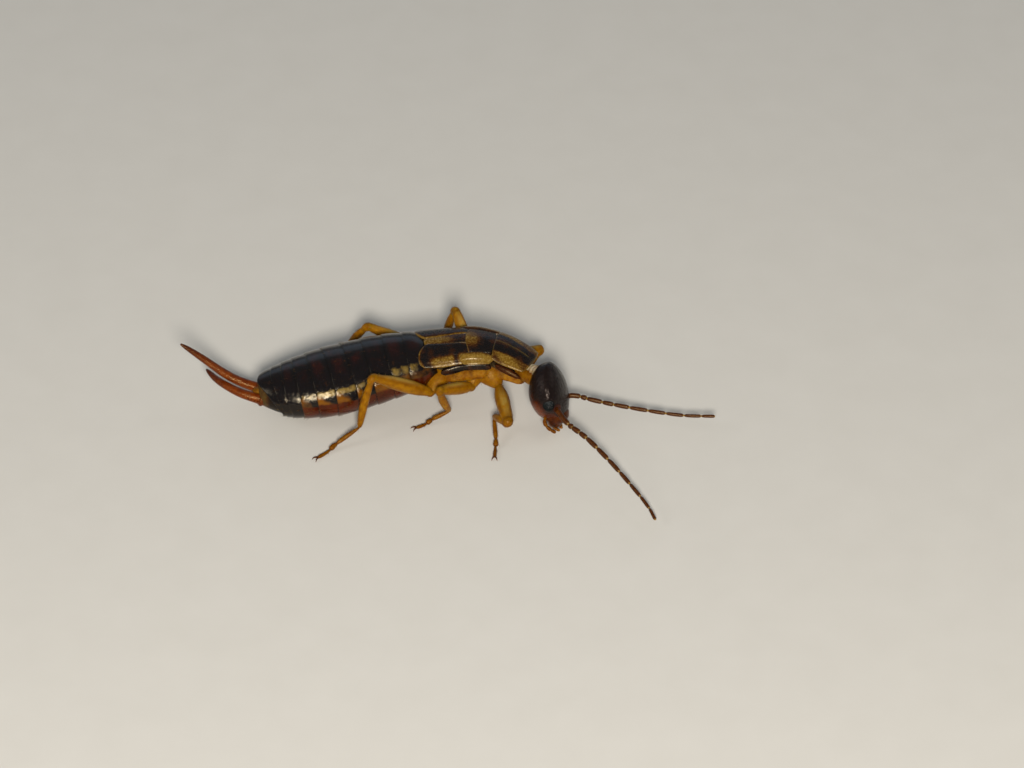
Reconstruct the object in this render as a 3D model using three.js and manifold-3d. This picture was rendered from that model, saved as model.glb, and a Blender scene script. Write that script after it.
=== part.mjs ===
// Earwig nymph of the last stage before adult, life size, standing on six feet with its head bent
// down, its tail bent to the right and its forceps raised. Millimetres, +Z up. The animal faces +X
// and its left side is on +Y. The group is shifted at the end, so that the middle of its bottom is
// at the origin.
import * as THREE from 'three';
import { mergeVertices } from 'three/addons/utils/BufferGeometryUtils.js';
import Module from 'manifold-3d';

const wasm = await Module();
wasm.setup();

// Driving dimensions

const GAP = 0.12; // thin cut between one named part and the next
const LEFT = 1;
const RIGHT = -1;

// The body line from the tail to the neck, with half the body's width and height at each place
const BODY = [
  { x: -6.7, y: -1.1, z: 1.03, wide: 0.62, high: 0.52 },
  { x: -6.25, y: -1.02, z: 1.04, wide: 0.92, high: 0.72 },
  { x: -5.66, y: -0.95, z: 1.05, wide: 1.2, high: 0.88 },
  { x: -5.04, y: -0.84, z: 1.08, wide: 1.37, high: 0.98 },
  { x: -4.2, y: -0.65, z: 1.15, wide: 1.5, high: 1.07 },
  { x: -3.3, y: -0.4, z: 1.24, wide: 1.5, high: 1.07 },
  { x: -2.3, y: -0.17, z: 1.4, wide: 1.43, high: 1.05 },
  { x: -1.2, y: 0.01, z: 1.58, wide: 1.27, high: 0.94 },
  { x: -0.2, y: 0.11, z: 1.78, wide: 1.14, high: 0.76 },
  { x: 0.8, y: 0.14, z: 1.95, wide: 1.02, high: 0.68 },
  { x: 1.7, y: 0.06, z: 1.89, wide: 0.92, high: 0.6 },
  { x: 2.4, y: -0.22, z: 1.7, wide: 0.88, high: 0.59 },
  { x: 3.0, y: -0.52, z: 1.47, wide: 0.8, high: 0.55 },
];

// Each ring of the abdomen is narrow in front by its lip and full behind. Neck and tail are the sizes of
// its two end faces, as shares of the body's.
const ABDOMEN = { front: -0.9, rear: -6.68, rings: 10, lip: 0.05, edge: 0.02, neck: 0.58, tail: 0.8 };

// The flesh under the plates, as shares of the body's width and height, and wider by its flank below
const THORAX = { front: 2.84, rear: -0.7, wide: 0.6, flank: 0.29, top: 0.3, bottom: 0.96, blunt: 0.3 };
const PLATE = { thick: 0.3, edge: 0.14, rim: 6 };

// Each plate of the back: where it ends in front and behind, its two edges round the body in degrees
// from the middle of the back, at its front and at its rear, and how round its corners are
const PLATES = {
  pronotum: { front: 2.9, rear: 1.64, edges: { front: [-48, 48], rear: [-58, 58] }, round: 0.35 },
  mesonotum: { front: 1.52, rear: 0.66, edges: { front: [-38, 38], rear: [-40, 40] }, round: 0.12 },
  metanotum: { front: 0.54, rear: -0.62, edges: { front: [-17, 17], rear: [-3, 3] }, round: 0.1 },
};
const PADS = {
  forewing_pad: { front: 1.66, rear: 0.56, edges: { front: [43, 71], rear: [46, 73] }, round: 0.55 },
  hindwing_pad: { front: 0.44, rear: -1.02, edges: { front: [22, 74], rear: [9, 60] }, round: 0.45 },
};
const VEINS = { across: 3, raised: 0.035 };

// The head: its middle, the way it points, and the way its left side points
const HEAD = {
  centre: new THREE.Vector3(3.785, -1.57, 1.467),
  forward: new THREE.Vector3(0.23, -0.425, -0.875).normalize(),
  left: new THREE.Vector3(0.3, 0.89, -0.34),
  long: 1.083,
  wide: 0.94,
  top: 0.44,
  bottom: 0.86,
  blunt: 0.6,
};

// The skull's width and height at places from its rear, 0, to its lip, 1, as shares of the largest
const SKULL = {
  width: [[0, 0.62], [0.12, 0.78], [0.4, 0.98], [0.6, 1], [0.8, 0.84], [0.93, 0.6], [1, 0.45]],
  height: [[0, 0.62], [0.15, 0.85], [0.42, 1], [0.7, 1], [0.88, 0.92], [1, 0.62]],
};
const EYE = { forward: 0.21, out: 0.76, up: 0, long: 0.26, high: 0.23, deep: 0.19, gap: 0.07 };

// Jaws, palps and neck run through places given forward, outward and upward from the head's middle
const MOUTH = {
  path: [[0.75, 0, -0.12], [1.0, 0, -0.14], [1.26, 0, -0.15]],
  girths: [[0, 0.4], [0.6, 0.36], [1, 0.25]],
};
const PALP = {
  path: [[0.6, 0.35, -0.3], [0.95, 0.52, -0.4], [1.2, 0.48, -0.3], [1.4, 0.36, -0.14]],
  girths: [[0, 0.13], [0.5, 0.12], [1, 0.08]],
  floor: 0.06,
};
const NECK = { front: [-0.5, 0, -0.3], sunk: 0.1, lowered: 1.6, girths: [[0, 0.27], [0.5, 0.27], [1, 0.32]] };

// The feelers: their segments' lengths from root to tip, and each segment's swelling
const ANTENNA = { root: 0.24, tip: 0.11 };
const ANTENNA_SEGMENTS = {
  left: [0.63, 0.22, 0.57, 0.41, 0.57, 0.67, 0.64, 0.65, 0.62, 0.49],
  right: [0.98, 0.16, 0.33, 0.33, 0.57, 0.62, 0.68, 0.62, 0.66, 0.6, 0.55],
};
const ANTENNA_SWELL = [[0.06, 0.78], [0.5, 0.96], [0.92, 1]];
const ANTENNA_PATHS = {
  left: [[4.18, -1.31, 0.93], [4.36, -1.18, 0.97], [4.66, -1.17, 0.95], [5.1, -1.27, 0.88],
    [5.89, -1.45, 0.8], [7.07, -1.7, 0.73], [8.36, -1.92, 0.68], [9.5, -2.05, 0.74]],
  right: [[3.83, -2.22, 1.36], [3.91, -2.4, 1.33], [4.1, -2.74, 1.25], [4.31, -3.04, 1.19],
    [4.91, -3.59, 1.05], [5.66, -4.52, 0.85], [6.39, -5.54, 0.62], [7.07, -6.63, 0.4], [7.3, -7.18, 0.3]],
};

// Each leg: root, trochanter, knee, ankle, middle of the foot and its tip, and how stout it is
const LEGS = {
  fore_left: { root: [1.95, 0.3, 1.6], hip: [2.2, 0.75, 1.12], knee: [3.38, 1.2, 1.22],
    ankle: [2.75, 0.75, 0.45], foot: [2.3, 0.95, 0.18], toe: [1.9, 1.15, 0.06], stout: 0.9 },
  fore_right: { root: [1.85, -0.35, 1.6], hip: [1.85, -0.85, 1.12], knee: [2.3, -2.85, 1.04],
    ankle: [1.68, -1.88, 0.6], foot: [1.75, -2.7, 0.2], toe: [1.71, -3.5, 0.06], stout: 0.9 },
  mid_left: { root: [0.95, 0.36, 1.58], hip: [0.85, 0.95, 1.22], knee: [0.29, 2.1, 2.3],
    ankle: [-0.1, 2.4, 0.6], foot: [-0.6, 2.5, 0.2], toe: [-1.1, 2.6, 0.06], stout: 0.9 },
  mid_right: { root: [1.0, -0.3, 1.6], hip: [0.9, -0.88, 1.15], knee: [-0.25, -1.85, 1.75],
    ankle: [0.1, -1.4, 0.45], foot: [-0.5, -1.55, 0.2], toe: [-1.09, -1.88, 0.06], stout: 0.9 },
  hind_left: { root: [-0.25, 0.4, 1.5], hip: [-0.55, 1.15, 1.0], knee: [-2.85, 1.9, 1.69],
    ankle: [-3.6, 2.0, 0.6], foot: [-4.1, 2.05, 0.2], toe: [-4.55, 2.15, 0.06], stout: 1 },
  hind_right: { root: [-0.2, -0.35, 1.5], hip: [-0.55, -1.15, 1.1], knee: [-2.6, -1.95, 2.44],
    ankle: [-3.07, -2.5, 0.6], foot: [-3.9, -2.95, 0.2], toe: [-4.54, -3.55, 0.06], stout: 1 },
};
const LEG = { coxa: 0.36, hip: 0.22, femur: 0.28, knee: 0.21, tibia: 0.2, ankle: 0.16, foot: 0.11 };
const SWELL = 0.7; // how far past the hip a femur is at its fullest
const SUNK = 0.12; // how far a shin or foot starts inside the part before it

// The foot's three joints, as shares of its thickness at places along it, and where its sole touches
const FOOT = {
  girths: [[0, 1.3], [0.45, 1], [0.5, 0.8], [0.6, 1.25], [0.7, 0.85], [0.85, 1.1], [1, 1]],
  sole: 0.45,
};
const CLAW = {
  path: [[-0.1, 0.02, 0.08], [0.04, 0.06, 0.11], [0.12, 0.09, 0.08], [0.16, 0.1, 0.03]],
  girths: [[0, 0.05], [0.5, 0.04], [1, 0.015]],
};

const FORCEPS = {
  left: [[-6.5, -0.85, 0.95], [-7.45, -0.66, 1.27], [-7.96, -0.6, 1.6], [-8.62, -0.52, 2.13],
    [-9.05, -0.5, 2.5], [-9.47, -0.5, 2.82]],
  right: [[-6.5, -1.4, 0.93], [-7.2, -1.27, 1.13], [-7.75, -0.98, 1.23], [-8.2, -0.55, 1.25],
    [-8.54, -0.1, 1.3]],
};
const FORCEPS_GIRTH = [[0, 0.23], [0.18, 0.21], [0.4, 0.17], [0.75, 0.125], [0.93, 0.085], [1, 0.05]];

// Colours of the real surfaces, shared by the parts that have them
const COLOURS = {
  dark: [0x1a1210, 0.3],
  brown: [0x3a2412, 0.35],
  eye: [0x0a0c10, 0.2],
  amber: [0xb5812f, 0.4],
  pale: [0xd8c79a, 0.5],
  belly: [0x8a4a1c, 0.4],
  forceps: [0x9a4a1a, 0.3],
};

// Geometry helpers

/** Moves every point of a closed geometry, then leaves one clean solid with its faces outwards. */
function shaped(geometry, place) {
  const points = geometry.getAttribute('position');
  const point = new THREE.Vector3();
  for (let i = 0; i < points.count; i += 1) {
    point.fromBufferAttribute(points, i);
    point.copy(place(point, i));
    points.setXYZ(i, point.x, point.y, point.z);
  }
  geometry.deleteAttribute('normal');
  geometry.deleteAttribute('uv');
  const merged = mergeVertices(geometry, 1e-4);
  return outward(merged);
}

/** Drops collapsed triangles and turns the faces out. */
function outward(geometry) {
  const points = geometry.getAttribute('position');
  const index = geometry.getIndex().array;
  const corner = [0, 1, 2].map(() => new THREE.Vector3());
  const kept = [];
  let volume = 0;
  for (let i = 0; i < index.length; i += 3) {
    const [a, b, c] = [index[i], index[i + 1], index[i + 2]];
    if (a === b || b === c || c === a) continue;
    kept.push(a, b, c);
    [a, b, c].forEach((vertex, k) => corner[k].fromBufferAttribute(points, vertex));
    volume += corner[0].dot(corner[1].cross(corner[2]));
  }
  if (volume < 0) {
    for (let i = 0; i < kept.length; i += 3) {
      [kept[i + 1], kept[i + 2]] = [kept[i + 2], kept[i + 1]];
    }
  }
  geometry.setIndex(kept);
  geometry.computeVertexNormals();
  return geometry;
}

/** A closed skin over rings of points: place(ring, angle) gives each point, the end rings are poles. */
function lofted(rings, around, place) {
  const geometry = new THREE.SphereGeometry(1, around, rings - 1);
  return shaped(geometry, (point, i) => {
    const ring = Math.floor(i / (around + 1));
    const step = i % (around + 1) % around;
    return place(ring, (2 * Math.PI * step) / around);
  });
}

/** Smooth value between the entries of a list of [place, value] pairs in rising order of place. */
function between(pairs, at) {
  const last = pairs.length - 1;
  if (at <= pairs[0][0]) return pairs[0][1];
  if (at >= pairs[last][0]) return pairs[last][1];
  const i = pairs.findIndex(([place]) => place >= at) - 1;
  const slope = (k) => {
    const [low, high] = [Math.max(k - 1, 0), Math.min(k + 1, last)];
    return (pairs[high][1] - pairs[low][1]) / (pairs[high][0] - pairs[low][0]);
  };
  const [[x0, y0], [x1, y1]] = [pairs[i], pairs[i + 1]];
  const span = x1 - x0;
  const t = (at - x0) / span;
  const rise = (1 - t) * slope(i) * t * (1 - t) * span - t * slope(i + 1) * t * (1 - t) * span;
  return y0 + (y1 - y0) * t * t * (3 - 2 * t) + rise;
}

/** How full a rounded form is at a place from 0 to 1 along it: the smaller blunt is, the squarer its ends. */
function roundness(at, blunt) {
  return (2 * Math.sqrt(at * (1 - at))) ** blunt;
}

/**
 * A round limb along a path of points, with its radius given at places from 0 to 1 along it. Grown
 * makes it that much larger all over, to cut its neighbour clear of it.
 */
function limb({ path, girths, around = 8, rings = 12, blunt = 0.35, floor = -Infinity }, grown = 0) {
  const points = path.map((p) => new THREE.Vector3(...p));
  const end = points.length - 1;
  const first = points[0].clone().sub(points[1]).setLength(grown);
  const last = points[end].clone().sub(points[end - 1]).setLength(grown);
  points[0].add(first);
  points[end].add(last);
  const curve = new THREE.CatmullRomCurve3(points, false, 'centripetal');
  const places = Array.from({ length: rings }, (_, i) => (1 - Math.cos((Math.PI * i) / (rings - 1))) / 2);
  return tubular(curve, places.map((at) => {
    return { at, radius: (between(girths, at) + grown) * roundness(at, blunt) };
  }), around, floor);
}

/** A tube along a curve through the rings given, kept above the floor. */
function tubular(curve, rings, around, floor) {
  const steps = 200;
  const frames = curve.computeFrenetFrames(steps, false);
  return lofted(rings.length, around, (ring, angle) => {
    const { at, radius } = rings[ring];
    const step = Math.round(at * steps);
    const point = curve.getPointAt(at);
    const closed = ring === 0 || ring === rings.length - 1 ? 0 : radius;
    point.addScaledVector(frames.normals[step], closed * Math.cos(angle));
    point.addScaledVector(frames.binormals[step], closed * Math.sin(angle));
    point.z = Math.max(point.z, floor);
    return point;
  });
}

/** Turns a closed geometry into a solid that can be joined and cut. */
function solid(geometry) {
  return new wasm.Manifold(new wasm.Mesh({
    numProp: 3,
    vertProperties: new Float32Array(geometry.getAttribute('position').array),
    triVerts: new Uint32Array(geometry.getIndex().array),
  }));
}

/** Turns a solid back into a geometry, keeping its largest closed surface. */
function geometryOf(whole) {
  const largest = whole.decompose().sort((a, b) => b.volume() - a.volume())[0];
  const mesh = largest.getMesh();
  const geometry = new THREE.BufferGeometry();
  geometry.setAttribute('position', new THREE.BufferAttribute(new Float32Array(mesh.vertProperties), 3));
  geometry.setIndex(new THREE.BufferAttribute(new Uint32Array(mesh.triVerts), 1));
  geometry.computeVertexNormals();
  return geometry;
}

/** Joins closed geometries that run into one another. */
function joined(geometries) {
  return geometryOf(geometries.map(solid).reduce((whole, piece) => whole.add(piece)));
}

/** Cuts closed geometries away from the first one. */
function cut(geometry, ...tools) {
  return geometryOf(tools.map(solid).reduce((whole, tool) => whole.subtract(tool), solid(geometry)));
}

// The body line

const measure = (key, x) => between(BODY.map((place) => [place.x, place[key]]), x);

/** The body's middle at a place along it, with the directions across and up there. */
function bodyAt(x) {
  const centre = new THREE.Vector3(x, measure('y', x), measure('z', x));
  const step = 0.05;
  const ahead = new THREE.Vector3(2 * step, measure('y', x + step) - measure('y', x - step),
    measure('z', x + step) - measure('z', x - step)).normalize();
  const left = new THREE.Vector3(0, 0, 1).cross(ahead).normalize();
  return { centre, left, up: ahead.clone().cross(left), wide: measure('wide', x), high: measure('high', x) };
}

/** A point on the body's section: turn is 0 on the back and grows to the left, in radians. */
function onBody(x, turn, grown = 0, lowered = 0) {
  const { centre, left, up, wide, high } = bodyAt(x);
  return centre.clone()
    .addScaledVector(left, (wide + grown) * Math.sin(turn))
    .addScaledVector(up, (high + grown) * Math.cos(turn) - lowered);
}

// Abdomen: rings that overlap backwards like tiles

function abdomen(grown = 0) {
  const ringLong = (ABDOMEN.front - ABDOMEN.rear) / ABDOMEN.rings;
  const { neck, tail, lip, edge } = ABDOMEN;
  const stations = [{ x: ABDOMEN.front, size: 0 }, { x: ABDOMEN.front - edge, size: neck }];
  for (let ring = 0; ring < ABDOMEN.rings; ring += 1) {
    const front = ABDOMEN.front - ring * ringLong;
    const start = ring === 0 ? neck : 1;
    stations.push({ x: front - 0.1 * ringLong, size: start, less: lip });
    stations.push({ x: front - 0.5 * ringLong, size: (1 + start) / 2, less: 0.2 * lip });
    stations.push({ x: front - ringLong + edge, size: 1 });
  }
  stations.push({ x: ABDOMEN.rear, size: tail }, { x: ABDOMEN.rear, size: 0 });
  return lofted(stations.length, 24, (ring, angle) => {
    const { x, size, less = 0 } = stations[ring];
    const { centre, left, up, wide, high } = bodyAt(x);
    const more = grown * Math.sign(size) - less;
    return centre.clone().setX(x + Math.sign(stations.length / 2 - ring) * grown)
      .addScaledVector(left, (wide * size + more) * Math.sin(angle))
      .addScaledVector(up, (high * size + more) * Math.cos(angle));
  });
}

// Thorax: the flesh under the plates of the back, and the plates and wing pads over it

function thorax(grown = 0) {
  const rings = 18;
  return lofted(rings, 20, (ring, angle) => {
    const at = (1 - Math.cos((Math.PI * ring) / (rings - 1))) / 2;
    const x = THREE.MathUtils.lerp(THORAX.rear - grown, THORAX.front + grown, at);
    const size = ring === 0 || ring === rings - 1 ? 0 : roundness(at, THORAX.blunt);
    const { centre, left, up, wide, high } = bodyAt(x);
    const middle = (THORAX.bottom - THORAX.top) / 2;
    const half = (THORAX.bottom + THORAX.top) / 2;
    const below = THREE.MathUtils.smoothstep(-Math.cos(angle), -0.2, 0.4);
    return centre.clone()
      .addScaledVector(left, (wide * (THORAX.wide + THORAX.flank * below) + grown) * size * Math.sin(angle))
      .addScaledVector(up, (high * half + grown) * size * Math.cos(angle) - high * middle);
  });
}

/** A curved plate on the back, thick in the middle and thin at its edge, ridged where it has veins. */
function plate({ front, rear, edges, round }, side = LEFT, veins = 0) {
  const [alongSteps, acrossSteps] = veins ? [9, 12] : [8, 14];
  const box = new THREE.BoxGeometry(2, 2, 2, alongSteps, acrossSteps, 1);
  return shaped(box, (point) => {
    const { x: u, y: v, z: w } = point.clone();
    const along = (1 + u * (1 - round * (1 - Math.sqrt(1 - (v * v) / 2)))) / 2;
    const across = (1 + v * (1 - round * (1 - Math.sqrt(1 - (u * u) / 2)))) / 2;
    const rim = Math.max(Math.abs(u), Math.abs(v)) ** PLATE.rim;
    const thin = ((PLATE.thick - PLATE.edge) * rim) / 2;
    const ridge = VEINS.raised * (1 - rim) * Math.max(0, Math.cos(Math.PI * veins * v)) * Math.sign(veins);
    const depth = w > 0 ? ridge - thin : thin - PLATE.thick;
    const [low, high] = [0, 1].map((k) => THREE.MathUtils.lerp(edges.rear[k], edges.front[k], along));
    const turn = THREE.MathUtils.lerp(low, high, across) * side;
    return onBody(THREE.MathUtils.lerp(rear, front, along), THREE.MathUtils.degToRad(turn), depth);
  });
}

// Head

const headUp = HEAD.forward.clone().cross(HEAD.left).normalize();
const headLeft = headUp.clone().cross(HEAD.forward).normalize();

/** A point in the head's own directions: forward, to the left, and up through its crown. */
function inHead(forward, left, up) {
  return HEAD.centre.clone()
    .addScaledVector(HEAD.forward, forward)
    .addScaledVector(headLeft, left)
    .addScaledVector(headUp, up);
}

/** The skull: rounded behind, widest at the eyes and narrowing to the upper lip. */
function skull(grown = 0) {
  const rings = 16;
  return lofted(rings, 22, (ring, angle) => {
    const at = (1 - Math.cos((Math.PI * ring) / (rings - 1))) / 2;
    const size = ring === 0 || ring === rings - 1 ? 0 : roundness(at, HEAD.blunt);
    const rise = Math.cos(angle);
    const tall = rise > 0 ? HEAD.top : HEAD.bottom;
    return inHead((2 * at - 1) * (HEAD.long + grown),
      (HEAD.wide * between(SKULL.width, at) + grown) * size * Math.sin(angle),
      (tall * between(SKULL.height, at) + grown) * size * rise);
  });
}

function eyeball(side, grown = 0) {
  return lofted(10, 14, (ring, angle) => {
    const polar = (Math.PI * ring) / 9;
    const girth = ring === 0 || ring === 9 ? 0 : Math.sin(polar);
    return inHead(EYE.forward + (EYE.long + grown) * girth * Math.cos(angle),
      side * (EYE.out + (EYE.deep + grown) * Math.cos(polar)),
      EYE.up + (EYE.high + grown) * girth * Math.sin(angle));
  });
}

/** The upper lip and jaws in front of the skull. */
function mouth(grown = 0) {
  const path = MOUTH.path.map((place) => inHead(...place).toArray());
  return limb({ path, girths: MOUTH.girths, around: 12, rings: 9 }, grown);
}

function palp(side) {
  const path = PALP.path.map(([forward, out, up]) => inHead(forward, side * out, up).toArray());
  return limb({ path, girths: PALP.girths, rings: 10, floor: PALP.floor });
}

/** A feeler: segments that swell to their ends, with a narrow joint between each two. */
function antenna(path, lengths) {
  const curve = new THREE.CatmullRomCurve3(path.map((p) => new THREE.Vector3(...p)), false, 'centripetal');
  const total = lengths.reduce((sum, length) => sum + length, 0);
  const rings = [{ at: 0, radius: 0 }];
  let start = 0;
  lengths.forEach((length, i) => {
    const thick = THREE.MathUtils.lerp(ANTENNA.root, ANTENNA.tip, i / (lengths.length - 1));
    ANTENNA_SWELL.forEach(([part, size]) => {
      rings.push({ at: (start + part * length) / total, radius: thick * size });
    });
    start += length;
  });
  rings.push({ at: 1, radius: 0 });
  return tubular(curve, rings, 8, -Infinity);
}

function neck() {
  const rear = onBody(THORAX.front - NECK.sunk, 0, 0, measure('high', THORAX.front) * NECK.lowered);
  const front = inHead(...NECK.front);
  const path = [rear, rear.clone().lerp(front, 0.5), front].map((place) => place.toArray());
  return limb({ path, girths: NECK.girths, around: 10, rings: 8 });
}

// Legs

/** Moves a place towards another by a distance. */
function towards(from, to, distance) {
  const start = new THREE.Vector3(...from);
  return start.add(new THREE.Vector3(...to).sub(start).setLength(distance)).toArray();
}

function femur(leg, grown = 0) {
  return limb({
    path: [leg.root, leg.hip, towards(leg.hip, leg.knee, SWELL), leg.knee],
    girths: [[0, LEG.coxa], [0.18, LEG.coxa * 0.9], [0.3, LEG.hip], [0.6, LEG.femur * leg.stout],
      [0.85, LEG.knee], [1, LEG.knee]],
    rings: 14,
  }, grown);
}

function tibia(leg, grown = 0) {
  const middle = new THREE.Vector3(...leg.knee).lerp(new THREE.Vector3(...leg.ankle), 0.4);
  return limb({
    path: [towards(leg.knee, leg.hip, SUNK), middle.toArray(), leg.ankle],
    girths: [[0, LEG.tibia], [0.6, LEG.tibia * leg.stout], [1, LEG.ankle]],
    rings: 10,
  }, grown);
}

function tarsus(leg) {
  const foot = new THREE.Vector3(...leg.foot);
  const sole = foot.lerp(new THREE.Vector3(...leg.toe), FOOT.sole).setZ(leg.toe[2]).toArray();
  return limb({
    path: [towards(leg.ankle, leg.knee, SUNK), leg.foot, sole, leg.toe],
    girths: FOOT.girths.map(([place, share]) => [place, share * LEG.foot]),
    rings: 13,
    floor: 0,
  });
}

function claw(leg, side) {
  const toe = new THREE.Vector3(...leg.toe);
  const way = toe.clone().sub(new THREE.Vector3(...leg.foot)).setZ(0).normalize();
  const out = new THREE.Vector3(0, 0, 1).cross(way).multiplyScalar(side);
  const path = CLAW.path.map(([forward, aside, high]) => toe.clone()
    .addScaledVector(way, forward).addScaledVector(out, aside).setZ(high).toArray());
  return limb({ path, girths: CLAW.girths, around: 6, rings: 6, floor: 0 });
}

// The whole animal

const group = new THREE.Group();

function add(name, geometry, [colour, roughness]) {
  const material = new THREE.MeshStandardMaterial({ color: colour, roughness, metalness: 0 });
  const mesh = new THREE.Mesh(geometry, material);
  mesh.name = name;
  group.add(mesh);
}

const nearHead = skull(GAP);
const nearThorax = thorax(GAP);
const nearAbdomen = abdomen(GAP);
const nearMouth = mouth(GAP);

add('abdomen', abdomen(), COLOURS.dark);
add('thorax', thorax(), COLOURS.belly);
for (const [name, sizes] of Object.entries(PLATES)) {
  add(name, plate(sizes), COLOURS.brown);
}
add('neck', cut(neck(), nearHead, nearThorax), COLOURS.pale);
add('head', cut(skull(), eyeball(LEFT, EYE.gap), eyeball(RIGHT, EYE.gap)), COLOURS.dark);
add('mouth', cut(mouth(), nearHead), COLOURS.forceps);

for (const [word, side] of [['left', LEFT], ['right', RIGHT]]) {
  for (const [name, sizes] of Object.entries(PADS)) {
    add(`${name}_${word}`, plate(sizes, side, VEINS.across), COLOURS.amber);
  }
  add(`eye_${word}`, eyeball(side), COLOURS.eye);
  add(`palp_${word}`, cut(palp(side), nearHead, nearMouth), COLOURS.amber);
  const feeler = antenna(ANTENNA_PATHS[word], ANTENNA_SEGMENTS[word]);
  add(`antenna_${word}`, cut(feeler, nearHead, eyeball(side, EYE.gap)), COLOURS.brown);
  const arm = limb({ path: FORCEPS[word], girths: FORCEPS_GIRTH, rings: 16 });
  add(`forceps_${word}`, cut(arm, nearAbdomen), COLOURS.forceps);
  for (const pair of ['fore', 'mid', 'hind']) {
    const leg = LEGS[`${pair}_${word}`];
    const foot = cut(joined([tarsus(leg), claw(leg, LEFT), claw(leg, RIGHT)]), tibia(leg, GAP));
    add(`${pair}leg_${word}_femur`, cut(femur(leg), nearThorax, nearAbdomen), COLOURS.amber);
    add(`${pair}leg_${word}_tibia`, cut(tibia(leg), femur(leg, GAP), nearAbdomen), COLOURS.amber);
    add(`${pair}leg_${word}_tarsus`, foot, COLOURS.amber);
  }
}

const bounds = new THREE.Box3().setFromObject(group);
const middle = bounds.getCenter(new THREE.Vector3());
group.position.set(-middle.x, -middle.y, -bounds.min.z);

export default group;
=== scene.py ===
"""A young earwig at life size, with wing pads, bent head and raised forceps, dressed round its solids.

The model's own frame is in millimetres: the animal faces +X, its left side is on +Y and it stands on
z = 0. Everything is turned into metres in the shared frame when a piece is made.
"""

from __future__ import annotations

import logging
import math
from dataclasses import dataclass, field
from enum import Enum
from typing import Any, Callable, Iterable, Sequence

import bmesh
import bpy
import numpy as np
from mathutils import Matrix, Vector


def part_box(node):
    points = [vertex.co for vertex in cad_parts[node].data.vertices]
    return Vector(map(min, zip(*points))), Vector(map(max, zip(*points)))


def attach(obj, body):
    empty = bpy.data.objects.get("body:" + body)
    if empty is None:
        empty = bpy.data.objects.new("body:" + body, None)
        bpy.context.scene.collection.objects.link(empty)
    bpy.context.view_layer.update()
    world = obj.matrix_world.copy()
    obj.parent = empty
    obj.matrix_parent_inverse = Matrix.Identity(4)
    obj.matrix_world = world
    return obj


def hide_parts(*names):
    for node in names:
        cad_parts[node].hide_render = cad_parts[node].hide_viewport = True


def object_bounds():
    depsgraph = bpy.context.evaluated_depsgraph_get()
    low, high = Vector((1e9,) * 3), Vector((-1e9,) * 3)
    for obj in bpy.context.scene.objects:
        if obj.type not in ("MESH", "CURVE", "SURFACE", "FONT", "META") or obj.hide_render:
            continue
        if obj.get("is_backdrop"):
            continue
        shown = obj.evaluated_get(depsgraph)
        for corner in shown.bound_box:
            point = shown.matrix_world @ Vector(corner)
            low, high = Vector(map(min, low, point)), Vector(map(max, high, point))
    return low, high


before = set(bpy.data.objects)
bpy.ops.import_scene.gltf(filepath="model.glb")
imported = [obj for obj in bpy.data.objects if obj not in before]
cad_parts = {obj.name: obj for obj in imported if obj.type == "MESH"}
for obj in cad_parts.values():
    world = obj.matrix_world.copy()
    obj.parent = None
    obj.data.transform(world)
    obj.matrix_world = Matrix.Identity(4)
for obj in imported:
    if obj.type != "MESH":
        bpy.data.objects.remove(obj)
CAD_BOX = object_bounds()

LOG = logging.getLogger("earwig")
MM = 0.001
BODY = "root"

Point = tuple[float, float, float]
Colour = Point
Pairs = Sequence[tuple[float, float]]
Marks = dict[str, float]
Value = Any
Item = bpy.types.Object
Material = bpy.types.Material
Socket = bpy.types.NodeSocket

UPWARDS = (0.0, 0.0, 1.0)
FULL_TURN = 2 * math.pi


class Slot(Enum):
    """The record's material slots."""

    ABDOMEN = "abdomen_shell"
    BACK = "back_plates"
    UNDERSIDE = "underside"
    NECK = "neck_skin"
    HEAD = "head_shell"
    EYES = "eyes"
    MOUTH = "mouthparts"
    ANTENNAE = "antennae"
    FORCEPS = "forceps"
    LEGS = "legs"


class Side(Enum):
    """The two sides of the animal."""

    LEFT = 1
    RIGHT = -1

    @property
    def word(self) -> str:
        """The side's name as the nodes have it."""
        return self.name.lower()


# Shape helpers


def between(pairs: Pairs, at: float) -> float:
    """Gives the smooth value at a place of a list of (place, value) pairs.

    Args:
        pairs: Places in rising order with their values.
        at: The place asked for.

    Returns:
        The value there, held beyond both ends.
    """
    last = len(pairs) - 1
    if at <= pairs[0][0]:
        return pairs[0][1]
    if at >= pairs[last][0]:
        return pairs[last][1]
    i = next(k for k, pair in enumerate(pairs) if pair[0] >= at) - 1

    def slope(k: int) -> float:
        """The slope at one of the pairs."""
        low, high = max(k - 1, 0), min(k + 1, last)
        return (pairs[high][1] - pairs[low][1]) / (pairs[high][0] - pairs[low][0])

    (x0, y0), (x1, y1) = pairs[i], pairs[i + 1]
    span = x1 - x0
    t = (at - x0) / span
    rise = (1 - t) * slope(i) * t * (1 - t) * span - t * slope(i + 1) * t * (1 - t) * span
    return y0 + (y1 - y0) * t * t * (3 - 2 * t) + rise


def smooth(value: float, low: float, high: float) -> float:
    """Rises from 0 at low to 1 at high with soft ends."""
    t = min(max((value - low) / (high - low), 0.0), 1.0)
    return t * t * (3 - 2 * t)


def bell(value: Value, middle: float, width: float) -> Value:
    """A soft hill of height 1 over a middle place, for one value or many."""
    return np.exp(-(((value - middle) / width) ** 2))


def unit(vector: np.ndarray) -> np.ndarray:
    """The vector at length one."""
    return vector / np.linalg.norm(vector)


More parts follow.
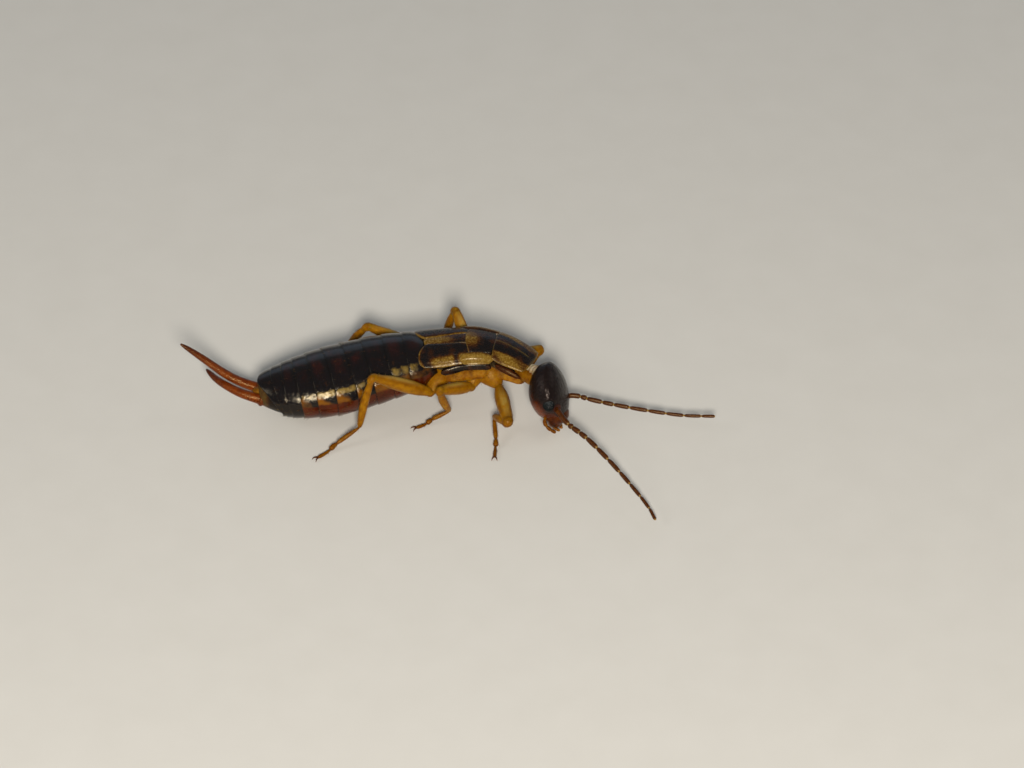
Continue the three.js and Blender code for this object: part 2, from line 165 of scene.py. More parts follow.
@dataclass
class Form:
    """A closed surface in the model's own millimetres, with the marks that its finish reads."""

    points: np.ndarray
    faces: list[tuple[int, ...]]
    marks: dict[str, np.ndarray] = field(default_factory=dict)

    def outward(self) -> "Form":
        """Turns the faces out and gives the form back.

        Returns:
            This form.
        """
        volume = 0.0
        for face in self.faces:
            for k in range(1, len(face) - 1):
                a, b, c = (self.points[face[j]] for j in (0, k, k + 1))
                volume += float(np.dot(a, np.cross(b, c)))
        if volume < 0:
            self.faces = [tuple(reversed(face)) for face in self.faces]
        return self

    def marked(self, **values: float | np.ndarray) -> "Form":
        """Adds marks, each one value for all points or one for each point.

        Args:
            values: The values by their marks' names.

        Returns:
            This form.
        """
        for name, value in values.items():
            self.marks[name] = np.broadcast_to(np.asarray(value, float), (len(self.points),)).copy()
        return self

    def lying(self, way: Sequence[float]) -> "Form":
        """Says which way the bristles on this form lie."""
        self.marks["lie"] = np.tile(unit(np.array(way, float)), (len(self.points), 1))
        return self


def joined(forms: Iterable[Form]) -> Form:
    """Puts several closed forms into one, keeping every mark that any of them has.

    Args:
        forms: The forms, each closed.

    Returns:
        One form, whose parts each have their own square of the picture map.
    """
    forms = list(forms)
    widths = {name: value.shape[1:] for form in forms for name, value in form.marks.items()}
    faces: list[tuple[int, ...]] = []
    marks: dict[str, list[np.ndarray]] = {name: [] for name in widths}
    start = 0
    cells = math.ceil(math.sqrt(len(forms)))
    for number, form in enumerate(forms):
        faces.extend(tuple(i + start for i in face) for face in form.faces)
        for name, width in widths.items():
            value = form.marks.get(name, np.zeros((len(form.points), *width)))
            if name == "root_place":
                value = (value + (number % cells, number // cells, 0)) / (cells, cells, 1)
            marks[name].append(value)
        start += len(form.points)
    points = np.concatenate([form.points for form in forms])
    return Form(points, faces, {name: np.concatenate(value) for name, value in marks.items()})


def poled(rows: np.ndarray) -> np.ndarray:
    """Draws the first and last rings of a table to one row each, and sets all rows in one list."""
    inner = rows[1:-1].reshape(-1, *rows.shape[2:])
    return np.concatenate([rows[0].mean(0)[None], inner, rows[-1].mean(0)[None]])


def barrel(rows: np.ndarray, marks: dict[str, np.ndarray], closed: bool = False) -> Form:
    """Skins rings of points.

    Args:
        rows: Points as (ring, place round it, xyz).
        marks: Values as (ring, place round it).
        closed: Whether the last ring joins the first, as in a sleeve with a wall. Otherwise the first
            and last rings are poles, and their points are drawn together.

    Returns:
        The closed form, with its faces outwards.
    """
    rings, around = rows.shape[:2]
    places = np.zeros_like(rows)
    places[:, :, 0] = np.arange(around) / around
    places[:, :, 1] = np.arange(rings)[:, None] / rings
    marks = {**marks, "root_place": places}
    if closed:
        points = rows.reshape(-1, 3)
        flat = {name: value.reshape(-1, *value.shape[2:]) for name, value in marks.items()}
        faces = [
            (r * around + a, r * around + (a + 1) % around,
             (r + 1) % rings * around + (a + 1) % around, (r + 1) % rings * around + a)
            for r in range(rings) for a in range(around)
        ]
        return Form(points, faces, flat).outward()
    points = poled(rows)
    flat = {name: poled(value) for name, value in marks.items()}
    last = len(points) - 1
    faces: list[tuple[int, ...]] = []
    for a in range(around):
        b = (a + 1) % around
        faces.append((0, 1 + b, 1 + a))
        faces.append((last, last - around + a, last - around + b))
        for r in range(rings - 3):
            low, high = 1 + r * around, 1 + (r + 1) * around
            faces.append((low + a, low + b, high + b, high + a))
    return Form(points, faces, flat).outward()


def pillow(
    place: Callable[[float, float, int], np.ndarray],
    mark: Callable[[float, float, int], Marks],
    rows: int,
    columns: int,
) -> Form:
    """Skins a plate whose upper and lower faces meet at its rim.

    Args:
        place: Gives the point for u and v from -1 to 1, and 1 for the upper face or -1 for the lower.
        mark: Gives the marks there.
        rows: Steps along u.
        columns: Steps along v.

    Returns:
        The closed form.
    """
    ease = [
        [math.sin(math.pi / 2 * (2 * k / count - 1)) for k in range(count + 1)]
        for count in (rows, columns)
    ]
    points: list[np.ndarray] = []
    marks: list[Marks] = []
    index: dict[tuple[int, int, int], int] = {}
    for i, u in enumerate(ease[0]):
        for j, v in enumerate(ease[1]):
            rim = i in (0, rows) or j in (0, columns)
            for face in (1,) if rim else (1, -1):
                index[i, j, face] = len(points)
                points.append(place(u, v, face))
                marks.append(mark(u, v, face))
            if rim:
                index[i, j, -1] = index[i, j, 1]
    faces = []
    for i in range(rows):
        for j in range(columns):
            for face in (1, -1):
                square = ((i, j), (i + 1, j), (i + 1, j + 1), (i, j + 1))
                corners = [index[row, column, face] for row, column in square]
                faces.append(tuple(corners if face == 1 else reversed(corners)))
    table = {name: np.array([mark[name] for mark in marks]) for name in marks[0]}
    return Form(np.array(points), faces, table).outward()


class Spline:
    """A smooth curve through points, measured along its length, with directions across it."""

    STEPS = 60
    LEAST_GAP = 1e-9
    LEAST_UP = 1e-6

    def __init__(self, points: Sequence[Sequence[float]], up: Sequence[float] = UPWARDS) -> None:
        """Samples the curve.

        Args:
            points: The places it runs through.
            up: The direction that its upper side starts near.
        """
        knots = [np.array(p, float) for p in points]
        knots = [2 * knots[0] - knots[1], *knots, 2 * knots[-1] - knots[-2]]
        samples = [knots[1]]
        for i in range(1, len(knots) - 2):
            samples.extend(self._stretch(*knots[i - 1 : i + 3]))
        self.samples = np.array(samples)
        steps = np.linalg.norm(np.diff(self.samples, axis=0), axis=1)
        self.shares = np.concatenate([[0], np.cumsum(steps)]) / float(steps.sum())
        ways = np.gradient(self.samples, axis=0)
        self.ways = ways / np.linalg.norm(ways, axis=1)[:, None]
        self.ups = self._carried(np.array(up, float))

    @classmethod
    def _stretch(cls, *knots: np.ndarray) -> list[np.ndarray]:
        """The curve from the second of four knots to the third.

        Args:
            knots: The knots in order.

        Returns:
            The points after the second knot, up to the third.
        """
        p0, p1, p2, p3 = knots
        gaps = zip(knots, knots[1:])
        d0, d1, d2 = (max(np.linalg.norm(b - a), cls.LEAST_GAP) ** 0.5 for a, b in gaps)
        out = ((p1 - p0) / d0 - (p2 - p0) / (d0 + d1) + (p2 - p1) / d1) * d1
        into = ((p2 - p1) / d1 - (p3 - p1) / (d1 + d2) + (p3 - p2) / d2) * d1
        result = []
        for step in range(1, cls.STEPS + 1):
            t = step / cls.STEPS
            here = (2 * t**3 - 3 * t**2 + 1) * p1 + (t**3 - 2 * t**2 + t) * out
            result.append(here + (3 * t**2 - 2 * t**3) * p2 + (t**3 - t**2) * into)
        return result

    def _carried(self, up: np.ndarray) -> np.ndarray:
        """The upward direction, carried along the curve without twist.

        Args:
            up: The direction at the start.

        Returns:
            The direction at each sample.
        """
        ups = []
        for way in self.ways:
            up = up - way * np.dot(up, way)
            if np.linalg.norm(up) < self.LEAST_UP:
                up = np.cross(way, (1.0, 0.0, 0.0))
            up = unit(up)
            ups.append(up)
        return np.array(ups)

    def at(self, share: float) -> tuple[np.ndarray, np.ndarray, np.ndarray, np.ndarray]:
        """The point at a share of the length, with the directions along, to the side and up there.

        Args:
            share: The share, from 0 to 1.

        Returns:
            The point and the three directions.
        """
        point, way, up = (
            np.array([np.interp(share, self.shares, table[:, k]) for k in range(3)])
            for table in (self.samples, self.ways, self.ups)
        )
        way = unit(way)
        up = unit(up - way * np.dot(up, way))
        return point, way, np.cross(up, way), up


def eased(step: int, count: int) -> float:
    """The share of the way at one of so many places, which stand closer towards both ends."""
    return (1 - math.cos(math.pi * step / (count - 1))) / 2


def scaled(pairs: Pairs, size: float) -> Pairs:
    """A list of (place, value) pairs with its values in another size."""
    return tuple((at, value * size) for at, value in pairs)


def rounded(share: float, blunt: float) -> float:
    """How full a rounded form is at a share of its length: the smaller blunt is, the squarer its ends."""
    return (2 * math.sqrt(max(share * (1 - share), 0.0))) ** blunt


def tube(
    spline: Spline,
    girth: Pairs,
    *,
    start: float = 0.0,
    end: float = 1.0,
    tall: Pairs = ((0.0, 1.0),),
    around: int = 28,
    rings: int = 28,
    blunt: float = 0.35,
    floor: float = -1.0,
) -> Form:
    """Makes a rounded limb along a stretch of a curve.

    Args:
        spline: The curve.
        girth: The limb's radius at shares of the stretch.
        start: Where the stretch begins, as a share of the curve.
        end: Where it ends.
        tall: Its height beside its width, at shares of the stretch.
        around: Points round each ring.
        rings: Rings along it.
        blunt: How round its ends are.
        floor: The lowest that any point may be.

    Returns:
        The closed form, marked with its share along and its turn from the top.
    """
    rows = np.zeros((rings, around, 3))
    along = np.zeros((rings, around))
    turn = np.zeros((rings, around))
    for r in range(rings):
        share = eased(r, rings)
        point, _, side, up = spline.at(start + (end - start) * share)
        radius = between(girth, share) * rounded(share, blunt)
        height = radius * between(tall, share)
        for a in range(around):
            angle = FULL_TURN * a / around
            rows[r, a] = point + side * radius * math.sin(angle) + up * height * math.cos(angle)
            along[r, a] = share
            turn[r, a] = abs((angle / math.pi + 1) % 2 - 1)
    rows[:, :, 2] = np.maximum(rows[:, :, 2], floor)
    return barrel(rows, {"along": along, "turn": turn})


# Places on the animal


@dataclass(frozen=True)
class Station:
    """A place on the body line: where it is, and half the body's width and height there."""

    x: float
    y: float
    z: float
    wide: float
    high: float


class BodyLine:
    """The line from the tail to the neck that the rings and plates follow."""

    STATIONS = (
        Station(-6.7, -1.1, 1.03, 0.62, 0.52),
        Station(-6.25, -1.02, 1.04, 0.92, 0.72),
        Station(-5.66, -0.95, 1.05, 1.2, 0.88),
        Station(-5.04, -0.84, 1.08, 1.37, 0.98),
        Station(-4.2, -0.65, 1.15, 1.5, 1.07),
        Station(-3.3, -0.4, 1.24, 1.5, 1.07),
        Station(-2.3, -0.17, 1.4, 1.43, 1.05),
        Station(-1.2, 0.01, 1.58, 1.27, 0.94),
        Station(-0.2, 0.11, 1.78, 1.14, 0.76),
        Station(0.8, 0.14, 1.95, 1.02, 0.68),
        Station(1.7, 0.06, 1.89, 0.92, 0.6),
        Station(2.4, -0.22, 1.7, 0.88, 0.59),
        Station(3.0, -0.52, 1.47, 0.8, 0.55),
    )
    REACH = (-7.2, 3.5)
    FINE = 0.01

    def __init__(self) -> None:
        """Measures the line once in fine steps."""
        self.xs = np.arange(*self.REACH, self.FINE)
        values = {}
        for key in ("y", "z", "wide", "high"):
            pairs = [(station.x, getattr(station, key)) for station in self.STATIONS]
            values[key] = np.array([between(pairs, x) for x in self.xs])
        centres = np.stack([self.xs, values["y"], values["z"]], axis=1)
        ahead = np.gradient(centres, axis=0)
        ahead /= np.linalg.norm(ahead, axis=1)[:, None]
        left = np.cross(UPWARDS, ahead)
        left /= np.linalg.norm(left, axis=1)[:, None]
        sizes = np.stack([values["wide"], values["high"]], axis=1)
        self.table = np.hstack([centres, left, np.cross(ahead, left), sizes])

    def section(self, x: float) -> tuple[np.ndarray, np.ndarray, np.ndarray, float, float]:
        """The body's middle at a place, the directions left and up there, and its half width and height.

        Args:
            x: The place along the body.

        Returns:
            The middle, the two directions, the half width and the half height.
        """
        step = min(max((x - self.REACH[0]) / self.FINE, 0.0), len(self.xs) - 2.0)
        low = int(step)
        row = self.table[low] + (self.table[low + 1] - self.table[low]) * (step - low)
        return row[0:3], row[3:6], row[6:9], float(row[9]), float(row[10])

    def point(self, x: float, turn: float, grown: float = 0.0) -> np.ndarray:
        """A point on the body's section. Turn is in radians, 0 on the back and growing to the left."""
        centre, left, up, wide, high = self.section(x)
        return centre + left * (wide + grown) * math.sin(turn) + up * (high + grown) * math.cos(turn)


class HeadFrame:
    """The head's own directions."""

    CENTRE = np.array([3.785, -1.57, 1.467])
    FORWARD = unit(np.array([0.23, -0.425, -0.875]))
    LEFTWARD = np.array([0.3, 0.89, -0.34])
    EYE = (0.21, 0.785, 0.0)

    def __init__(self) -> None:
        """Squares the directions to one another."""
        self.up = unit(np.cross(self.FORWARD, self.LEFTWARD))
        self.left = unit(np.cross(self.up, self.FORWARD))

    def point(self, forward: float, left: float, up: float) -> np.ndarray:
        """A point given forward, to the left and up through the crown from the head's middle."""
        return self.CENTRE + self.FORWARD * forward + self.left * left + self.up * up

    def path(self, places: Sequence[Point], side: float = 1) -> Spline:
        """A curve through places given forward, outward on one side and up from the head's middle."""
        return Spline([self.point(forward, side * out, up) for forward, out, up in places], self.up)


LINE = BodyLine()
HEAD = HeadFrame()


def zero_in_frame() -> np.ndarray:
    """Where the model's own zero lies in the shared frame, in metres, from the middle of the two eyes.

    Returns:
        The place.
    """
    boxes = [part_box(f"eye_{side.word}") for side in Side]
    middle = sum((np.array(low) + np.array(high) for low, high in boxes), np.zeros(3)) / 4
    return middle - HEAD.point(HEAD.EYE[0], 0.0, HEAD.EYE[2]) * MM


ZERO = zero_in_frame()


# Pieces in the scene


def piece(name: str, form: Form, finish: Material, slot: Slot, *nodes: str) -> None:
    """Makes a finished object of a form and puts it in the shared frame.

    Args:
        name: The piece's name.
        form: Its surface, in the model's millimetres.
        finish: Its material.
        slot: The record's slot that the finish comes from.
        nodes: The solids that it stands for.
    """
    mesh = meshed(name, form)
    mesh.materials.append(finish)
    settled(linked(name, mesh), slot, *nodes)


def linked(name: str, data: bpy.types.ID) -> Item:
    """A new object of a mesh, light or camera, in the scene.

    Args:
        name: The object's name.
        data: What it shows.

    Returns:
        The object.
    """
    item = bpy.data.objects.new(name, data)
    bpy.context.scene.collection.objects.link(item)
    return item


def meshed(name: str, form: Form) -> bpy.types.Mesh:
    """A form's mesh in the shared frame, with its marks as attributes.

    Args:
        name: The mesh's name.
        form: The form, in the model's millimetres.

    Returns:
        The mesh, without a material.
    """
    mesh = bpy.data.meshes.new(name)
    mesh.from_pydata([tuple(p) for p in form.points * MM + ZERO], [], form.faces)
    for mark, values in form.marks.items():
        kind, key = ("FLOAT", "value") if values.ndim == 1 else ("FLOAT_VECTOR", "vector")
        mesh.attributes.new(mark, kind, "POINT").data.foreach_set(key, values.astype(np.float32).ravel())
    mesh.shade_smooth()
    mesh.update()
    return mesh


def settled(item: Item, slot: Slot, *nodes: str) -> None:
    """Lets an object ride on the body and stand for its solids, and reports it.

    Args:
        item: The finished object.
        slot: Not used.
        nodes: The solids that it stands for.
    """
    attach(item, BODY)
    if nodes:
        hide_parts(*nodes)
    solids = ", ".join(nodes) or "no solid"
    LOG.info("%s: %d faces, stands for %s", item.name, len(item.data.polygons), solids)


class Graph:
    """Adds nodes to a tree and links them."""

    def __init__(self, tree: bpy.types.NodeTree) -> None:
        """Keeps the tree."""
        self.tree = tree

    def add(self, kind: str, inputs: dict[int | str, Value] | None = None,
            **settings: Value) -> bpy.types.Node:
        """Adds a node.

        Args:
            kind: The node's type.
            inputs: Values or sockets for its inputs, by name or number.
            settings: Its properties.

        Returns:
            The node.
        """
        node = self.tree.nodes.new(kind)
        for key, value in settings.items():
            setattr(node, key, value)
        for key, value in (inputs or {}).items():
            self.put(node.inputs[key], value)
        return node

    def put(self, socket: Socket, value: Value) -> None:
        """Sets an input to a value, or links it to a socket or to a node's first output.

        Args:
            socket: The input.
            value: What it is given.
        """
        if isinstance(value, bpy.types.Node):
            value = value.outputs[0]
        if isinstance(value, Socket):
            self.tree.links.new(value, socket)
        else:
            socket.default_value = value

    def math(self, operation: str, *values: Value) -> Socket:
        """Does one sum with one or two values."""
        return self.add("ShaderNodeMath", dict(enumerate(values)), operation=operation).outputs[0]


class Paint(Graph):
    """The nodes of one material round a principled shader."""

    def __init__(self, name: str, gloss: float = 0.5, tint: Colour = (1, 1, 1), glow: float = 0.0,
                 spread: Colour = (1, 1, 1), depth: float = 0.05) -> None:
        """Starts a material.

        Args:
            name: The material's name.
            gloss: The strength of its highlights.
            tint: Their colour.
            glow: The share of light that enters the surface.
            spread: How far that light travels in red, green and blue, beside one another.
            depth: How far it travels at most, in millimetres.
        """
        self.material = bpy.data.materials.new(name)
        self.material.use_nodes = True
        super().__init__(self.material.node_tree)
        self.tree.nodes.clear()
        self.shader = self.add("ShaderNodeBsdfPrincipled", {
            "Specular IOR Level": gloss, "Specular Tint": (*tint, 1.0), "Subsurface Weight": glow,
            "Subsurface Radius": spread, "Subsurface Scale": depth * MM})
        self.add("ShaderNodeOutputMaterial", {"Surface": self.shader})
        self.place = self.add("ShaderNodeTexCoord").outputs["Object"]

    def mark(self, name: str) -> Socket:
        """One of the form's marks."""
        return self.add("ShaderNodeAttribute", attribute_name=name).outputs["Fac"]

    def noise(self, per_mm: float, detail: float = 3.0, stretch: Point = (1, 1, 1)) -> Socket:
        """Cloudy noise from 0 to 1, so many lumps to the millimetre, stretched along the axes.

        Args:
            per_mm: Lumps to the millimetre.
            detail: How many finer layers are added.
            stretch: How often it repeats along each axis, beside the others.

        Returns:
            The noise.
        """
        shaped = self.add("ShaderNodeMapping", {"Vector": self.place, "Scale": stretch})
        lumps = {"Vector": shaped, "Scale": per_mm / MM, "Detail": detail}
        return self.add("ShaderNodeTexNoise", lumps).outputs["Fac"]

    def pits(self, per_mm: float, reach: float) -> Socket:
        """Scattered pits, so many to the millimetre: 0 in the middle of each and 1 from its reach on."""
        spots = self.add("ShaderNodeTexVoronoi", {"Vector": self.place, "Scale": per_mm / MM})
        return self.ramp(spots.outputs["Distance"], 0.0, reach)

    def cloudy(self, amount: Value, cloud: Socket, strength: float) -> Socket:
        """An amount that a cloud raises and lowers."""
        return self.math("ADD", amount, self.math("MULTIPLY", self.math("ADD", cloud, -0.5), strength))

    def ramp(self, value: Value, low: float, high: float, to_low: float = 0.0,
             to_high: float = 1.0) -> Socket:
        """Carries a value from one range to another with soft ends."""
        ends = {"Value": value, "From Min": low, "From Max": high, "To Min": to_low, "To Max": to_high}
        return self.add("ShaderNodeMapRange", ends, interpolation_type="SMOOTHSTEP").outputs["Result"]

    def colour(self, amount: Value, first: Value, second: Value) -> Socket:
        """Mixes two colours, each a socket or three numbers.

        Args:
            amount: The second colour's share.
            first: The first colour.
            second: The second colour.

        Returns:
            The mixed colour.
        """
        node = self.add("ShaderNodeMix", data_type="RGBA", clamp_factor=True)
        self.put(node.inputs[0], amount)
        for socket, value in ((node.inputs[6], first), (node.inputs[7], second)):
            self.put(socket, (*value, 1.0) if isinstance(value, tuple) else value)
        return node.outputs[2]

    def relief(self, *heights: tuple[Socket, float]) -> None:
        """Stacks bumps on the surface, each a height from 0 to 1 with its depth in millimetres.

        Args:
            heights: Each height with its depth, the lowest layer first.
        """
        normal = None
        for height, depth in heights:
            node = self.add("ShaderNodeBump", {"Height": height, "Distance": depth * MM, "Strength": 1.0})
            if normal:
                self.put(node.inputs["Normal"], normal)
            normal = node.outputs["Normal"]
        self.put(self.shader.inputs["Normal"], normal)

    def finish(self, colour: Value, roughness: Value) -> Material:
        """Sets the colour and roughness and gives the material.

        Args:
            colour: The colour.
            roughness: The roughness.

        Returns:
            The material.
        """
        self.put(self.shader.inputs["Base Color"], colour)
        self.put(self.shader.inputs["Roughness"], roughness)
        return self.material


# Finishes


@dataclass(frozen=True)
class RingShell:
    """The abdomen: blue-black rings with red-brown blotches, a gold flank band that is partly painted
    highlight, and a red-brown underside.
    """

    dark: Colour = (0.005, 0.004, 0.005)
    blotch: Colour = (0.026, 0.005, 0.004)
    # Gold of the flank band, laid where the key light's highlight falls: partly the cuticle's gold, partly
    # painted highlight
    gold: Colour = (0.19, 0.12, 0.025)
    amber: Colour = (0.15, 0.05, 0.001)
    under: Colour = (0.034, 0.003, 0.0)
    warm: Colour = (0.065, 0.0075, 0.0)
    # Dark seams at the rings' rear edges, and painted shade on each ring's front edge where it lies under the
    # ring before
    seam_and_shade: Colour = (0.003, 0.0025, 0.003)
    gloss: float = 0.32
    roughness: tuple[float, float] = (0.12, 0.24)

    def material(self) -> Material:
        """Builds the material.

        Returns:
            The material.
        """
        paint = Paint("ring_shell", self.gloss, (1.0, 0.85, 0.6), 0.1, (0.3, 0.1, 0.04), 0.4)
        cloud = paint.noise(2.2, 4)
        ragged = paint.noise(4.5, 5)
        blotched = paint.math("MULTIPLY", paint.mark("blotch"), paint.ramp(cloud, 0.35, 0.65))
        back = paint.colour(blotched, self.dark, self.blotch)
        # The gold band, speckled in its colour: partly gold cuticle, partly painted highlight and glints
        band = paint.ramp(paint.cloudy(paint.mark("gold"), ragged, 1.3), 0.25, 0.85)
        gleam = paint.math("MULTIPLY", band, paint.ramp(paint.noise(15, 3), 0.25, 0.6, 0.35, 1.0))
        flank = paint.colour(gleam, back, self.gold)
        patch = paint.cloudy(paint.mark("amber"), ragged, 1.3 * 0.9)
        flank = paint.colour(paint.ramp(patch, 0.1, 0.95), flank, self.amber)
        under = paint.colour(paint.ramp(cloud, 0.3, 0.7), self.under, self.warm)
        below = paint.ramp(paint.cloudy(paint.mark("under"), ragged, 1.3), 0.2, 0.8)
        # Darkens the seams, with painted shade where each ring tucks under the one before
        whole = paint.colour(paint.mark("seam_and_tuck_shade"), paint.colour(below, flank, under), self.seam_and_shade)
        scratches = paint.noise(45, 2, (1, 0.18, 0.18))
        grit = paint.math("MULTIPLY", paint.noise(9, 4), paint.mark("gritty"))
        paint.relief((scratches, 0.002), (paint.pits(26, 0.35), 0.002), (grit, 0.016))
        fine = paint.noise(14, 3, (1, 0.25, 0.25))
        return paint.finish(whole, paint.ramp(fine, 0.3, 0.8, *self.roughness))


@dataclass(frozen=True)
class PlateShell:
    """The plates of the back: dark and glossy, with pale gold borders and patches."""

    dark: Colour = (0.006, 0.0045, 0.005)
    brown: Colour = (0.034, 0.010, 0.003)
    halo: Colour = (0.045, 0.013, 0.0015)
    gold: Colour = (0.13, 0.065, 0.006)
    pale: Colour = (0.25, 0.155, 0.03)
    gloss: float = 0.26
    roughness: tuple[float, float] = (0.2, 0.36)

    def material(self) -> Material:
        """Builds the material.

        Returns:
            The material.
        """
        paint = Paint("plate_shell", self.gloss, (1.0, 0.85, 0.6), 0.15, (0.3, 0.15, 0.05), 0.3)
        cloud = paint.noise(3.0, 4)
        speck = paint.noise(16, 3)
        dark = paint.colour(paint.ramp(cloud, 0.45, 0.75), self.dark, self.brown)
        gold = paint.colour(paint.ramp(speck, 0.4, 0.8), self.gold, self.pale)
        amount = paint.cloudy(paint.cloudy(paint.mark("gold"), speck, 0.35), cloud, 0.6)
        whole = paint.colour(paint.ramp(amount, 0.08, 0.45), dark, self.halo)
        whole = paint.colour(paint.ramp(amount, 0.3, 0.8), whole, gold)
        whole = paint.colour(paint.mark("pale"), whole, self.pale)
        paint.relief((paint.noise(9, 4), 0.014), (paint.pits(22, 0.35), 0.002))
        return paint.finish(whole, paint.ramp(speck, 0.3, 0.8, *self.roughness))


@dataclass(frozen=True)
class Skin:
    """A translucent amber shell or soft skin, darker where its dark mark says and paler where its pale mark
    says: a pale end on the abdomen's core, and a painted highlight along the top of each thigh.
    """

    name: str
    light: Colour
    deep: Colour
    dark: Colour
    roughness: tuple[float, float] = (0.28, 0.45)
    grain: float = 0.005
    glow: float = 0.35
    # Pale colour: the core's pale end, and a painted highlight along the thighs
    pale: Colour = (0.38, 0.25, 0.05)
    gloss: float = 0.18

    def material(self) -> Material:
        """Builds the material.

        Returns:
            The material.
        """
        paint = Paint(self.name, self.gloss, (1.0, 0.75, 0.35), self.glow, (0.5, 0.25, 0.08), 0.35)
        cloud = paint.noise(5.0, 4)
        fine = paint.noise(28, 2)
        body = paint.colour(paint.ramp(cloud, 0.3, 0.7), self.light, self.deep)
        # The pale mark: the core's pale end, and a painted highlight along the top of the thighs
        stripe = paint.math("MULTIPLY", paint.mark("stripe"), paint.ramp(cloud, 0.2, 0.6))
        body = paint.colour(stripe, body, self.pale)
        whole = paint.colour(paint.mark("dark"), body, self.dark)
        paint.relief((fine, self.grain), (paint.noise(9, 3), self.grain * 2))
        return paint.finish(whole, paint.ramp(fine, 0.3, 0.7, *self.roughness))


@dataclass(frozen=True)
class HeadShell:
    """The head: glossy black-brown, red-brown towards the cheeks and the mouth."""

    dark: Colour = (0.008, 0.005, 0.0045)
    warm: Colour = (0.045, 0.007, 0.0008)
    amber: Colour = (0.11, 0.02, 0.0006)
    gloss: float = 0.2
    roughness: tuple[float, float] = (0.14, 0.26)

    def material(self) -> Material:
        """Builds the material.

        Returns:
            The material.
        """
        paint = Paint("head_shell", self.gloss, (1.0, 0.8, 0.7), 0.12, (0.4, 0.12, 0.04), 0.3)
        cloud = paint.noise(3.5, 4)
        warm = paint.ramp(paint.cloudy(paint.mark("warm"), cloud, 0.6), 0.15, 0.9)
        amber = paint.ramp(paint.cloudy(paint.mark("amber"), cloud, 0.6), 0.2, 1.0)
        whole = paint.colour(amber, paint.colour(warm, self.dark, self.warm), self.amber)
        paint.relief((paint.noise(11, 4), 0.026), (paint.pits(14, 0.2), 0.003))
        return paint.finish(whole, paint.ramp(paint.noise(20, 3), 0.3, 0.8, *self.roughness))


@dataclass(frozen=True)
class EyeGlass:
    """The eyes: black facets with a faint blue-green sheen."""

    deep: Colour = (0.002, 0.0023, 0.0022)
    sheen: Colour = (0.003, 0.006, 0.006)
    gloss: float = 0.2
    roughness: tuple[float, float] = (0.16, 0.26)

    def material(self) -> Material:
        """Builds the material.

        Returns:
            The material.
        """
        paint = Paint("eye_glass", self.gloss)
        cloud = paint.noise(6, 2)
        whole = paint.colour(paint.ramp(cloud, 0.4, 0.7), self.deep, self.sheen)
        paint.relief((paint.noise(60, 2), 0.001))
        return paint.finish(whole, paint.ramp(cloud, 0.3, 0.7, *self.roughness))


@dataclass(frozen=True)
class FeelerShell:
    """The feelers: dark brown segments with pale yellowish joints."""

    dark: Colour = (0.032, 0.006, 0.0005)
    brown: Colour = (0.095, 0.025, 0.0012)
    pale: Colour = (0.26, 0.15, 0.03)
    gloss: float = 0.3
    roughness: tuple[float, float] = (0.24, 0.4)

    def material(self) -> Material:
        """Builds the material.

        Returns:
            The material.
        """
        paint = Paint("feeler_shell", self.gloss, (1.0, 0.8, 0.5), 0.2, (0.3, 0.15, 0.05), 0.2)
        fine = paint.noise(30, 3)
        body = paint.colour(paint.ramp(fine, 0.35, 0.75), self.dark, self.brown)
        whole = paint.colour(paint.mark("joint"), body, self.pale)
        paint.relief((paint.noise(60, 2), 0.004))
        return paint.finish(whole, paint.ramp(fine, 0.3, 0.7, *self.roughness))


@dataclass(frozen=True)
class Floor:
    """The plain pale floor."""

    light: Colour = (0.66, 0.63, 0.57)
    shade: Colour = (0.62, 0.59, 0.53)
    roughness: float = 0.8

    def material(self) -> Material:
        """Builds the material."""
        paint = Paint("floor_paper")
        return paint.finish(paint.colour(paint.noise(0.6, 5), self.light, self.shade), self.roughness)


# Growths made by rule


class Growth(Graph):
    """A tree of geometry nodes with named inputs, which gives a dressed mesh."""

    def __init__(self, name: str, inputs: dict[str, str]) -> None:
        """Starts the tree.

        Args:
            name: The tree's name.
            inputs: The names of its inputs and the kind of each.
        """
        super().__init__(bpy.data.node_groups.new(name, "GeometryNodeTree"))
        for title, kind in inputs.items():
            self.tree.interface.new_socket(title, in_out="INPUT", socket_type=f"NodeSocket{kind}")
        self.tree.interface.new_socket("Result", in_out="OUTPUT", socket_type="NodeSocketGeometry")
        self.given = self.add("NodeGroupInput").outputs

    def named(self, mark: str, kind: str) -> bpy.types.Node:
        """One of the marks of the surface that the tree grows on."""
        return self.add("GeometryNodeInputNamedAttribute", {"Name": mark}, data_type=kind)

    def smoothed(self, geometry: Value) -> bpy.types.Node:
        """The geometry as one smooth mesh without instances."""
        soft = self.add("GeometryNodeSetShadeSmooth", {"Geometry": geometry, "Shade Smooth": True})
        return self.add("GeometryNodeRealizeInstances", {0: soft})

    def finished(self, geometry: Value, finish: Material) -> None:
        """Sets the material and gives the geometry out."""
        dressed = self.add("GeometryNodeSetMaterial", {"Geometry": geometry, "Material": finish})
        self.add("NodeGroupOutput", {0: dressed})


